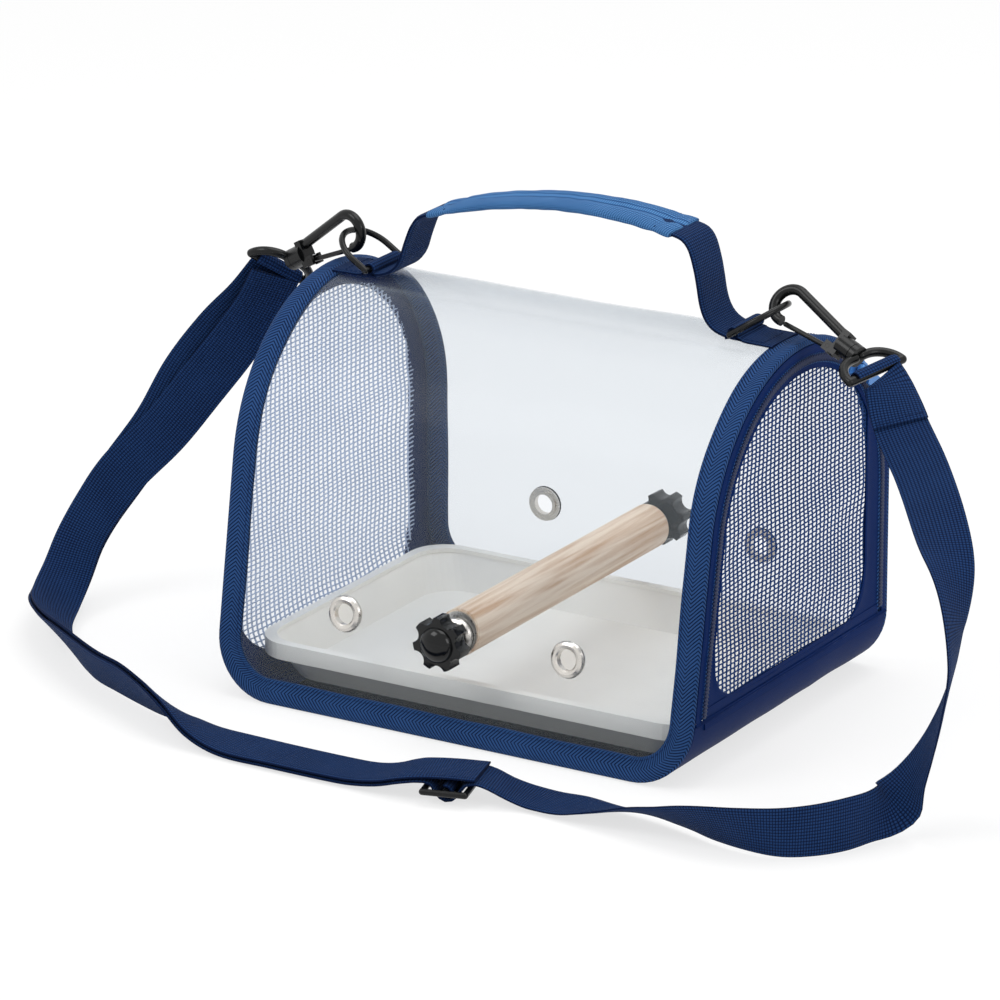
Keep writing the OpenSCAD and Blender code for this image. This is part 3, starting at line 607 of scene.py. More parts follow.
def band(
    name: str,
    path: np.ndarray,
    widths: np.ndarray,
    width: float,
    thickness: float,
    columns: int = 9,
) -> bpy.types.Object:
    """A flat woven band swept along a path, with soft edges and UVs in millimetres.

    Args:
        name: the piece's name.
        path: points of its middle line.
        widths: direction of its width at each point.
        width: its width.
        thickness: its thickness.
        columns: number of points across each face.

    Returns:
        The band.
    """
    run = tangents(path)
    side = unit(widths - (widths * run).sum(1, keepdims=True) * run)
    normal = np.cross(run, side)
    across = np.linspace(-0.5, 0.5, columns)
    profile = [(a * width, thickness / 2 * (1 if abs(a) < 0.49 else 0.45)) for a in across]
    profile += [(a * width, -h) for a, (_, h) in zip(across[::-1], profile[::-1])]
    count = len(profile)
    aside, above = zip(*profile)
    length = distance_along(path)
    points = np.concatenate(
        [at + np.outer(aside, s) + np.outer(above, n) for at, s, n in zip(path, side, normal)]
    )
    uvs = np.array([[u, p[0]] for u in length for p in profile])
    return make_solid(name, points, grid_faces(len(path), count, True, True), 50, uvs)


def stitches(
    name: str, path: np.ndarray, normals: np.ndarray, pitch: float, length: float, radius: float
) -> bpy.types.Object:
    """A row of stitches that lie on a surface, each a small spindle of thread.

    Args:
        name: the piece's name.
        path: points that the row follows.
        normals: the surface's normal at each point.
        pitch: distance from one stitch to the next.
        length: length of a stitch.
        radius: radius of the thread.

    Returns:
        All the stitches as one piece.
    """
    run = distance_along(path)
    places = np.arange(pitch / 2, run[-1], pitch)
    middle = np.stack([np.interp(places, run, c) for c in path.T], axis=1)
    along = np.stack([np.interp(places, run, c) for c in tangents(path).T], axis=1)
    up = np.stack([np.interp(places, run, c) for c in normals.T], axis=1)
    points, faces = [], []
    for centre, ahead, out in zip(middle, unit(along), unit(up)):
        side = np.cross(ahead, out)
        base = len(points)
        points.append(centre - ahead * length / 2 - out * radius * 0.6)
        for place, scale in ((-0.3, 0.9), (0.3, 0.9)):
            for k in range(5):
                angle = 2 * math.pi * k / 5
                points.append(
                    centre
                    + ahead * length * place
                    + (side * math.cos(angle) + out * math.sin(angle)) * radius * scale
                )
        points.append(centre + ahead * length / 2 - out * radius * 0.6)
        for k in range(5):
            j = (k + 1) % 5
            faces.append([base, base + 1 + j, base + 1 + k])
            faces.append([base + 1 + k, base + 1 + j, base + 6 + j, base + 6 + k])
            faces.append([base + 11, base + 6 + k, base + 6 + j])
    return make_solid(name, points, faces, 80)


# ---------------------------------------------------------------- the workshop


@dataclass
class Workshop:
    """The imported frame, its materials, and what each finished piece rides on."""

    frame: dict[str, Any]
    materials: dict[str, bpy.types.Material] = field(default_factory=dict)

    def finish(self, name: str) -> bpy.types.Material:
        """The material of a finish, built the first time it is asked for."""
        if name not in self.materials:
            self.materials[name] = FINISHES[name].build()
        return self.materials[name]

    def paint(self, piece: bpy.types.Object, finish: str) -> None:
        """Gives a piece one finish all over."""
        piece.data.materials.clear()
        piece.data.materials.append(self.finish(finish))

    def place(
        self,
        piece: bpy.types.Object,
        finish: str,
        body: str = "bag",
        replaces: Sequence[str] = (),
        slot: str | None = None,
    ) -> bpy.types.Object:
        """Dresses a new piece and puts it on its body.

        Args:
            piece: the new piece.
            finish: the name of its finish.
            body: the body that it rides on.
            replaces: CAD nodes that it stands for.
            slot: the record's slot, where it isn't the finish's own name; it is not used.

        Returns:
            The piece.
        """
        self.paint(piece, finish)
        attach(piece, body)
        if replaces:
            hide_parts(*replaces)
        LOG.info("%s: %d faces on %s", piece.name, len(piece.data.polygons), body)
        return piece


# ---------------------------------------------------------------- the bag


@dataclass
class Profile:
    """The bag's end outline in Y and Z, followed from the front foot over the arch to the rear."""

    half_depth: float = 95.0
    height: float = 184.0
    radius: float = 86.0

    def __post_init__(self) -> None:
        """Works out the leaning front and the lengths of the three stretches."""
        self.centre_y = self.half_depth - self.radius
        self.centre_z = self.height - self.radius
        reach = self.centre_y + self.half_depth
        slant = math.hypot(reach, self.centre_z)
        self.lean = math.pi / 2 - math.atan2(self.centre_z, reach) - math.asin(self.radius / slant)
        self.front = math.sqrt(slant**2 - self.radius**2)
        self.arch = self.radius * (math.pi - self.lean)
        self.length = self.front + self.arch + self.centre_z

    def at(self, s: float, out: float = 0.0) -> tuple[np.ndarray, np.ndarray]:
        """A point of the outline and its outward normal.

        Args:
            s: distance along the outline from the front foot.
            out: how far outside the outline the point lies.

        Returns:
            The point and the normal, each y and z.
        """
        if s < self.front:
            point = np.array([-self.half_depth + s * math.sin(self.lean), s * math.cos(self.lean)])
            normal = np.array([-math.cos(self.lean), math.sin(self.lean)])
        elif s < self.front + self.arch:
            angle = math.pi - self.lean - (s - self.front) / self.radius
            normal = np.array([math.cos(angle), math.sin(angle)])
            point = np.array([self.centre_y, self.centre_z]) + self.radius * normal
        else:
            point = np.array([self.half_depth, self.length - s])
            normal = np.array([1.0, 0.0])
        return point + out * normal, normal

    def front_y(self, z: float, inset: float) -> float:
        """Where the front face lies at a height, drawn in by an inset."""
        return -self.half_depth + z * math.tan(self.lean) + inset / math.cos(self.lean)

    def outline(
        self, inset: float, floor: float, rear: float, count: int = 240, rounding: int = 0
    ) -> np.ndarray:
        """A closed outline of an end, drawn in, cut off at the bottom and along the rear.

        Args:
            inset: how far it is drawn in.
            floor: height of its lower edge.
            rear: y of its rear edge.
            count: number of points, at even angles round its middle.
            rounding: smoothing passes at its corners.

        Returns:
            Rows of y, z.
        """
        middle = np.array([0.0, 92.0])
        radius = self.radius - inset
        points = []
        for k in range(count):
            angle = 2 * math.pi * k / count
            ray = np.array([math.cos(angle), math.sin(angle)])
            reach = [1e9]
            if ray[1] < -1e-9:
                reach.append((floor - middle[1]) / ray[1])
            if ray[0] > 1e-9:
                reach.append((rear - middle[0]) / ray[0])
            slope = ray[0] - ray[1] * math.tan(self.lean)
            if slope < -1e-9:
                reach.append((self.front_y(middle[1], inset) - middle[0]) / slope)
            hit = min(reach)
            centre = middle - np.array([self.centre_y, self.centre_z])
            along = float(centre @ ray)
            arc = -along + math.sqrt(max(along**2 - centre @ centre + radius**2, 0))
            top = self.centre_z + radius * (math.sin(self.lean) if ray[0] < 0 else 0.0)
            if ray[1] > 0 and (middle + hit * ray)[1] > top:
                hit = min(hit, arc)
            points.append(middle + hit * ray)
        outline = np.array(points)
        lower = outline[:, 1] < floor + 26
        for _ in range(rounding):
            softer = (np.roll(outline, 1, 0) + outline + np.roll(outline, -1, 0)) / 3
            outline[lower] = softer[lower]
        return outline


@dataclass
class Shell:
    """The clear sheet, its edge tape and the stitching of the tape."""

    profile: Profile
    half_width: float = 128.0
    corner: float = 30.0
    tape_width: float = 12.0
    seam_inset: float = 10.4
    film_inset: float = 6.0
    film: float = 0.5
    hole: float = 5.5
    eyelets: Sequence[Point] = ()

    def half_at(self, s: float, inset: float) -> float:
        """Half the sheet's width somewhere along the outline.

        Args:
            s: distance along the outline from the front foot.
            inset: how far the edge is drawn in.

        Returns:
            Half the width.
        """
        edge = min(s, self.profile.length - s)
        radius = self.corner - inset
        if edge >= self.corner:
            return self.half_width - inset
        drop = min(self.corner - edge, radius)
        return self.half_width - self.corner + math.sqrt(radius**2 - drop**2)

    def clear_sheet(self, shop: Workshop) -> bpy.types.Object:
        """Builds the clear sheet, with its soft waves, its crease and the eyelet holes.

        Args:
            shop: the workshop.

        Returns:
            The sheet.
        """
        inset, rows, columns = self.film_inset, 190, 85
        places = np.linspace(inset, self.profile.length - inset, rows)
        points, uvs = [], []
        crease = self.profile.front + self.profile.arch * 0.42
        for s in places:
            half = self.half_at(s, inset)
            for u in np.linspace(-1, 1, columns):
                calm = min(1.0, (1 - abs(u)) * 6) * min(1.0, (s - inset) / 30)
                calm *= min(1.0, (self.profile.length - inset - s) / 30)
                near = min(math.hypot(u * half - e[0], s - self.hole_s(e)) for e in self.eyelets)
                calm *= min(1.0, max(0.0, (near - 8) / 20))
                swell = noise.noise(Vector((u * half / 75, s / 60, 0.3))) * 1.6
                swell += noise.noise(Vector((u * half / 30, s / 26, 4.7))) * 0.35
                dent = 0.9 * math.exp(-(((s - crease) / 3.0) ** 2)) * calm
                point, _ = self.profile.at(s, -0.4 + (swell - 0.4) * calm * 0.8 - dent)
                points.append((u * half, point[0], point[1]))
                uvs.append((u * half, s))
        sheet = make_mesh("clear_film", points, grid_faces(rows, columns), uvs)
        apply_modifier(sheet, "SOLIDIFY", thickness=self.film * MM, offset=0.0)
        self.punch(sheet)
        smooth(sheet, 35)
        shop.place(sheet, "vinyl", replaces=["clear_sheet"])
        return sheet

    def hole_s(self, eyelet: Point) -> float:
        """Distance along the outline of an eyelet's centre."""
        if eyelet[1] < 0:
            return eyelet[2] / math.cos(self.profile.lean)
        return self.profile.length - eyelet[2]

    def punch(self, sheet: bpy.types.Object) -> None:
        """Cuts the eyelet holes through the sheet."""
        for x, y, z in self.eyelets:
            deselect()
            bpy.ops.mesh.primitive_cylinder_add(
                vertices=24,
                radius=self.hole * MM,
                depth=24 * MM,
                location=(x * MM, y * MM, z * MM),
                rotation=(math.pi / 2 - (self.profile.lean if y < 0 else 0.0), 0, 0),
            )
            cutter = bpy.context.object
            apply_modifier(sheet, "BOOLEAN", object=cutter, operation="DIFFERENCE")
            bpy.data.objects.remove(cutter)

    def edge_path(self) -> tuple[np.ndarray, np.ndarray]:
        """The sheet's edge unrolled flat: x and s of each point, and the way inwards there."""
        half, corner, length = self.half_width, self.corner, self.profile.length
        straight = half - corner
        path: list[tuple[float, float]] = []
        inward: list[tuple[float, float]] = []
        for x in np.arange(-straight, straight, 4.0):
            path.append((x, 0.0))
            inward.append((0.0, 1.0))
        turns = [
            (straight, corner, -90.0),
            (straight, length - corner, 0.0),
            (-straight, length - corner, 90.0),
            (-straight, corner, 180.0),
        ]
        for index, (cx, cs, start) in enumerate(turns):
            for step in range(0, 13):
                angle = math.radians(start + 90 * step / 12)
                path.append((cx + corner * math.cos(angle), cs + corner * math.sin(angle)))
                inward.append((-math.cos(angle), -math.sin(angle)))
            if index == 0:
                for s in np.arange(corner + 4, length - corner - 2, 4.0):
                    path.append((half, s))
                    inward.append((-1.0, 0.0))
            elif index == 1:
                for x in np.arange(straight - 4, -straight + 2, -4.0):
                    path.append((x, length))
                    inward.append((0.0, -1.0))
            elif index == 2:
                for s in np.arange(length - corner - 4, corner + 2, -4.0):
                    path.append((-half, s))
                    inward.append((1.0, 0.0))
        return np.array(path), np.array(inward)

    def lift(self, x: float, s: float, out: float) -> Point:
        """The place in space of a point of the unrolled sheet.

        Args:
            x: its place across the sheet.
            s: its distance along the outline from the front foot.
            out: how far outside the sheet's face it lies.

        Returns:
            Its x, y and z.
        """
        below = min(s, 0.0) - max(s - self.profile.length, 0.0)
        point, _ = self.profile.at(min(max(s, 0.0), self.profile.length), out)
        return (x, point[0], point[1] + below)

    def tape(self, shop: Workshop) -> bpy.types.Object:
        """Builds the edge tape as one band folded over the sheet's whole edge.

        Args:
            shop: the workshop.

        Returns:
            The tape.
        """
        path, inward = self.edge_path()
        width = self.tape_width
        # distance in from the edge and height over the sheet's face; the wire lifts it near 3 mm
        section = [
            (width, 0.1), (width - 0.2, 0.8), (width - 1, 1.0), (8.5, 1.05), (6, 1.2),
            (4.6, 1.5), (3.4, 1.75), (2.2, 1.65), (1.0, 1.2), (0.2, 0.5), (0.0, -0.3),
            (0.1, -1.0), (0.7, -1.7), (1.8, -2.1), (3.2, -2.3), (4.6, -2.1), (6, -1.9),
            (8.5, -1.85), (width - 1, -1.8), (width - 0.2, -1.6), (width, -0.9),
        ]
        walk = distance_along(np.array([[*p, 0.0] for p in section]))
        run = distance_along(np.hstack([path, np.zeros((len(path), 1))]))
        points, uvs = [], []
        for (x, s), (ix, js), u in zip(path, inward, run):
            for (w, h), v in zip(section, walk):
                wobble = 0.15 * math.sin(u / 9.0) if w > 5 else 0.0
                points.append(self.lift(x + ix * (w + wobble), s + js * (w + wobble), h))
                uvs.append((u, v))
        rows, columns = len(path), len(section)
        points += points[:columns]
        uvs += [(run[-1] + 4.0, v) for v in walk]
        faces = grid_faces(rows + 1, columns, wrap=True)
        tape = make_solid("edge_tape", points, faces, 60, uvs)
        shop.place(
            tape,
            "edge_tape",
            replaces=["binding_left", "binding_right", "binding_front", "binding_rear"],
        )
        sewn = path + inward * self.seam_inset
        row = np.array([self.lift(x, s, 1.08) for x, s in sewn])
        normals = []
        for x, s in path:
            _, normal = self.profile.at(min(max(s, 0.0), self.profile.length))
            normals.append((0.0, normal[0], normal[1]))
        thread = stitches("tape_stitching", row, np.array(normals), 2.9, 2.2, 0.22)
        shop.place(thread, "thread", slot="edge_tape")
        return tape


@dataclass
class Gusset:
    """The fabric base and ends, the mesh windows and the zip."""

    profile: Profile
    half_width: float = 128.0
    corner: float = 30.0
    fold: float = 31.0
    left_sill: float = 8.0
    under_tape: float = 1.6
    frame_inset: float = 6.0
    door_inset: float = 10.0
    window_inset: float = 13.0
    left_margin: float = 17.0
    door_margin: float = 23.0
    net_pitch: tuple[float, float] = (3.8, 2.25)
    thread_width: tuple[float, float] = (1.1, 0.64)

    def base(self, shop: Workshop) -> None:
        """Builds the trough of the base with its two round lower corners."""
        straight = self.half_width - self.corner
        # the left corner belongs to the net, so the cloth only turns up at the right end
        turn = [
            (straight + self.corner * math.cos(a), self.corner + self.corner * math.sin(a))
            for a in np.radians(np.linspace(270, 360, 13))
        ]
        outline = [(-turn[2][0], turn[2][1]), (-turn[1][0], turn[1][1]), (-turn[0][0], 0.0)]
        outline += [(x, 0.0) for x in np.arange(-straight + 8, straight - 2, 8.0)]
        outline += turn + [(self.half_width, 29.8)]
        flat = np.array([[x, 0.0, z] for x, z in outline])
        run = distance_along(flat)
        points, uvs = [], []
        columns = 29
        for (x, z), u in zip(outline, run):
            front = self.profile.front_y(z, self.under_tape)
            rear = self.profile.half_depth - self.under_tape
            for t in np.linspace(0, 1, columns):
                y = front + (rear - front) * t
                calm = min(1, t * 8, (1 - t) * 8)
                swell = abs(noise.noise(Vector((u / 45, y / 40, 2.0)))) * 0.9 * calm
                toward = Vector((-x, 0.0, 60.0 - z)).normalized()
                points.append((x + toward.x * swell, y, z + toward.z * swell))
                uvs.append((u, y))
        base = make_mesh("base_cloth", points, grid_faces(len(outline), columns), uvs)
        recalculate(base)
        self.thicken(base, 1.1, np.array([0.0, 0.0, 70.0]))
        shop.place(base, "gusset_cloth", replaces=["base_panel"])

    def thicken(self, piece: bpy.types.Object, thickness: float, inside: np.ndarray) -> None:
        """Gives a sheet its thickness on the side of a point inside the bag.

        Args:
            piece: the sheet.
            thickness: its thickness in millimetres.
            inside: a point on the inner side.
        """
        face = piece.data.polygons[len(piece.data.polygons) // 2]
        inward = Vector(inside) * MM - face.center
        offset = -1.0 if face.normal.dot(inward) < 0 else 1.0
        apply_modifier(piece, "SOLIDIFY", thickness=thickness * MM, offset=offset)
        smooth(piece, 45)

    def ring(
        self, name: str, x: float, outer: np.ndarray, inner: np.ndarray, seed: float
    ) -> bpy.types.Object:
        """A flat panel of cloth between two outlines, with a hem along the inner one.

        Args:
            name: the piece's name.
            x: where its outer face lies.
            outer: the outer outline, rows of y, z.
            inner: the inner outline.
            seed: seed of its puckers.

        Returns:
            The panel.
        """
        side = 1 if x > 0 else -1
        shares = [0.0, 0.06, 0.25, 0.5, 0.75, 0.86, 0.93, 1.0]
        lifts = [0.0, 0.05, 0.15, 0.15, 0.1, 0.35, 0.45, 0.1]
        points, uvs = [], []
        for share, lift in zip(shares, lifts):
            for (oy, oz), (iy, iz) in zip(outer, inner):
                y, z = oy + (iy - oy) * share, oz + (iz - oz) * share
                pucker = 0.35 * noise.noise(Vector((y / 16, z / 16, seed))) * math.sin(
                    math.pi * share
                )
                bend = self.bend(z) if x < 0 else 0.0
                points.append((x + side * (lift + pucker) + bend, y, z))
                uvs.append((y, z))
        panel = make_mesh(name, points, grid_faces(len(shares), len(outer), wrap=True), uvs)
        self.thicken(panel, 1.0, np.array([0.0, 0.0, 90.0]))
        return panel

    def bend(self, z: float) -> float:
        """How far the left end turns in at a height, where it follows the bag's round corner."""
        drop = min(max(self.corner - z, 0.0), self.corner)
        return self.corner - math.sqrt(self.corner**2 - drop**2)

    def windows(self, shop: Workshop) -> None:
        """Builds both mesh ends, the zip between its two tapes, and the door's fold."""
        rear = self.profile.half_depth
        outline, hem, sill = self.profile.outline, self.under_tape, self.fold - 1.0
        far_rear, near_rear = rear - self.left_margin, rear - self.door_margin
        far_window = outline(self.window_inset, self.left_sill, far_rear, rounding=60)
        far_edge = outline(hem, hem / 2, rear - hem)
        window = outline(self.window_inset, self.fold + 3, near_rear, rounding=60)
        frame_out = outline(hem, sill, rear - hem)
        frame_in = outline(self.frame_inset, sill, rear - self.frame_inset)
        door = outline(self.door_inset, self.fold + 1.2, rear - self.door_inset)
        shop.place(
            self.ring("left_end_cloth", -self.half_width, far_edge, far_window, 1.0),
            "gusset_cloth",
            replaces=["left_end_panel"],
        )
        shop.place(
            self.ring("door_cloth", self.half_width, door, window, 7.0),
            "gusset_cloth",
            body="door",
            replaces=["door_panel"],
        )
        edge = self.ring("door_frame_cloth", self.half_width, frame_out, frame_in, 3.0)
        shop.place(edge, "gusset_cloth", replaces=["right_end_frame"])
        # the far net is the same net with painted light: a paler copy of its finish
        self.net(
            shop, "left_net", -self.half_width + 0.6, far_window, "bag", "mesh_far_painted_light", "left_mesh"
        )
        self.net(shop, "door_net", self.half_width - 0.6, window, "door", "mesh", "door_mesh")
        self.zip(shop)
        self.hinge_cloth(shop)

    def net(
        self,
        shop: Workshop,
        name: str,
        x: float,
        window: np.ndarray,
        body: str,
        finish: str,
        node: str,
    ) -> None:
        """Weaves a net of crossing threads that fills a window.

        Args:
            shop: the workshop.
            name: the piece's name.
            x: the plane that it hangs in.
            window: the window's outline, rows of y, z.
            body: the body that it rides on.
            finish: the threads' finish.
            node: the CAD net that it replaces.
        """
        middle = window.mean(0)
        reach = middle + (window - middle) * 1.025
        half_t = 0.17
        low, high = reach.min(0), reach.max(0)
        points: list[Point] = []
        faces: list[list[int]] = []
        for axis in (0, 1):
            other = 1 - axis
            pitch, step = self.net_pitch[axis], self.net_pitch[other] / 2
            half_w = self.thread_width[axis] / 2
            for number, line in enumerate(np.arange(low[axis] + pitch / 2, high[axis], pitch)):
                hits = crossings(reach, axis, line)
                if len(hits) < 2 or hits[-1] - hits[0] < 2 * pitch:
                    continue
                places = np.arange(hits[0], hits[-1] + step, step)
                base = len(points)
                for index, place in enumerate(places):
                    spot = [0.0, 0.0]
                    spot[axis], spot[other] = line, place
                    slack = noise.noise(Vector((spot[0] / 38, spot[1] / 30, x)))
                    drift = noise.noise(Vector((spot[0] / 50, spot[1] / 22, 9.0)))
                    over = (1 if axis == 0 else -1) * math.cos(math.pi * (index + number)) * 0.12
                    spot[axis] += drift * 1.6
                    depth = x + slack * 0.9 + over + (self.bend(spot[1]) if x < 0 else 0.0)
                    for dw, dt in ((-1, -1), (1, -1), (1, 1), (-1, 1)):
                        corner = list(spot)
                        corner[axis] += dw * half_w
                        points.append((depth + dt * half_t, corner[0], corner[1]))
                count = len(places)
                faces += [[base + i for i in f] for f in grid_faces(count, 4, True, True)]
        net = make_solid(name, points, faces, 80, merge=False)
        shop.place(net, finish, body=body, replaces=[node], slot="mesh")

    def zip(self, shop: Workshop) -> None:
        """Builds the zip: two woven tapes and the row of interlocked teeth between them."""
        profile = self.profile
        start = (self.fold + 2) / math.cos(profile.lean)
        places = np.arange(start, profile.length - self.fold - 2, 1.0)
        x = self.half_width + 0.35
        for name, body, node, low, high in (
            ("zip_tape_fixed", "bag", "zip_coil_fixed", 5.6, 7.7),
            ("zip_tape_door", "door", "zip_coil_door", 8.3, 10.6),
        ):
            points, uvs = [], []
            for s in places:
                for inset, rise in ((low, 0.0), (low + 0.4, 0.45), (high - 0.5, 0.5), (high, 0.1)):
                    point, _ = profile.at(s, -inset)
                    points.append((x + rise - 0.3, point[0], point[1]))
                    uvs.append((s, inset))
            strip = make_mesh(name, points, grid_faces(len(places), 4), uvs)
            self.thicken(strip, 0.5, np.array([0.0, 0.0, 90.0]))
            shop.place(strip, "edge_tape", body=body, replaces=[node], slot="zip_coil")
            self.teeth(shop, name + "_teeth", body, 1 if body == "bag" else -1)

    def teeth(self, shop: Workshop, name: str, body: str, side: int) -> None:
        """Builds one half of the zip's coil as a row of small rounded turns.

        Args:
            shop: the workshop.
            name: the piece's name.
            body: the body that it rides on.
            side: 1 for the half on the bag's edge, -1 for the half on the door.
        """
        profile = self.profile
        pitch = 1.7
        first = (self.fold + 3) / math.cos(profile.lean) + (0 if side > 0 else pitch / 2)
        points: list[Point] = []
        faces: list[list[int]] = []
        ring = [(math.cos(a), math.sin(a)) for a in np.arange(6) * math.pi / 3]
        for s in np.arange(first, profile.length - self.fold - 3, pitch):
            base = len(points)
            for reach, size in ((1.9, 0.45), (0.8, 0.62), (-0.7, 0.6), (-1.15, 0.4)):
                for c, d in ring:
                    point, _ = profile.at(s + c * size * 0.85, -8.0 + side * reach)
                    points.append((self.half_width + 0.75 + d * size * 0.7, point[0], point[1]))
            faces += [[base + i for i in f] for f in grid_faces(4, 6, True, True)]
        row = make_solid(name, points, faces, 60, merge=False)
        shop.place(row, "zip_coil", body=body)

    def hinge_cloth(self, shop: Workshop) -> None:
        """Builds the fold of cloth along the door's lower edge."""
        heights = np.linspace(self.fold - 5, self.fold + 5, 9)
        front, rear = self.profile.front_y(self.fold, 9.5), self.profile.half_depth - 9.5
        points, uvs = [], []
        for z in heights:
            dip = 0.5 * math.exp(-(((z - self.fold) / 1.2) ** 2))
            for y in np.linspace(front, rear, 25):
                points.append((self.half_width + 0.35 - dip, y, z))
                uvs.append((y, z))
        cloth = make_mesh("door_fold_cloth", points, grid_faces(9, 25), uvs)
        self.thicken(cloth, 0.8, np.array([0.0, 0.0, 31.0]))
        shop.paint(cloth, "gusset_cloth")
        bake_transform(cloth)


def crossings(outline: np.ndarray, axis: int, line: float) -> list[float]:
    """Where a straight line crosses a closed outline.

    Args:
        outline: rows of y, z.
        axis: the coordinate that is constant on the line.
        line: its value there.

    Returns:
        The other coordinate at each crossing, in order.
    """
    found = []
    following = np.roll(outline, -1, axis=0)
    for a, b in zip(outline, following):
        if (a[axis] - line) * (b[axis] - line) < 0:
            share = (line - a[axis]) / (b[axis] - a[axis])
            found.append(float(a[1 - axis] + share * (b[1 - axis] - a[1 - axis])))
    return sorted(found)


# ---------------------------------------------------------------- straps and handle


# The strap's routes: each row a point, in millimetres, and the way of the webbing's width there
SINGLE_ROUTE = np.array([
    (178, -3, 175, 3, 9, 1), (191, -14, 162, 6, 7, 3), (212, -34, 150, 6, 6, 4),
    (233, -58, 138, 4, 8, 3), (250, -78, 123, 1, 9, 1), (258, -89, 105, -1, 9, 0),
    (258, -90, 85, -3, 9, 0), (253, -88, 65, -4, 9, 1), (245, -86, 43, -5, 8, 3),
    (237, -86, 26, -5, 6, 6), (231, -92, 15, -3, 3, 9), (227, -104, 13, 0, 0, 9),
    (222, -119, 13, 0, 0, 9), (213, -133, 13, 0, -1, 9), (201, -143, 13, 0, -2, 9),
    (184, -148, 13, 0, -4, 9), (165, -148, 12, 0, -6, 8), (147, -145, 10, 0, -8, 6),
    (129, -142, 8, 0, -9, 4), (112, -141, 5, 0, -9, 2), (95, -140, 3, 0, -9, 0),
    (80, -139, 2, 0, -9, 0), (70, -140, 3.2, 2, -9, 0), (62, -142, 5.8, 3, -9, 0),
    (55, -144, 9, 3, -9, 0), (49.5, -145.4, 10.3, 3, -9, 0), (45, -147, 9, 3, -9, 0),
    (41, -148, 3.1, 3, -9, 0), (37, -149, 1.2, 3, -9, 0), (33, -150, 3.1, 3, -9, 0),
    (29, -151, 8.5, 3, -9, 0),
], dtype=float)
DOUBLE_ROUTE = np.array([
    (24, -153, 10.4, 3, -9, 0), (16, -154.3, 8.6, 2, -9, 0), (6, -155, 5.4, 1, -9, 0),
    (-6, -155, 3.2, 0, -9, 0), (-20, -155, 2.6, 0, -9, 0), (-50, -155, 2.6, 0, -9, 0),
    (-78, -154, 2.6, 0, -9, 0), (-97, -152, 5, -1, -9, 2), (-113, -149, 10, -3, -8, 6),
    (-130, -143, 12, -2, -6, 8), (-148, -135, 13, -2, -5, 9), (-166, -127, 13, -2, -5, 9),
    (-185, -117, 13, -1, -5, 9), (-205, -103, 13, -2, -5, 8), (-224, -87, 12, -4, -5, 7),
    (-240, -69, 11, -6, -4, 6), (-250.5, -48.9, 11, -8, -3, 4), (-254.9, -32.4, 19, -9, -2, 2),
    (-254.9, -21.1, 32, -9, -1, 2), (-250, -11.5, 47, -9, -1, 3), (-239.5, -4.4, 65, -8, -2, 5),
    (-223.5, 4.6, 87, -8, -2, 6), (-208.3, 10.9, 112, -7, -3, 6), (-192.8, 16.4, 134, -6, -4, 6),
    (-179.4, 21.6, 153, -5, -6, 5),
], dtype=float)


@dataclass
class Eye:
    """The bar of one swivel eye, where the strap goes round it."""

    centre: np.ndarray
    bar: np.ndarray
    towards: np.ndarray

    def square(self, point: np.ndarray) -> np.ndarray:
        """The direction from the bar to a point, made square to the bar."""
        away = point - self.centre
        return unit(away - (away @ self.bar) * self.bar)


# The way from the bag to the camera, roughly: it tells the strap's near side from its far one.
TO_CAMERA = np.array([0.49, -0.81, 0.32])


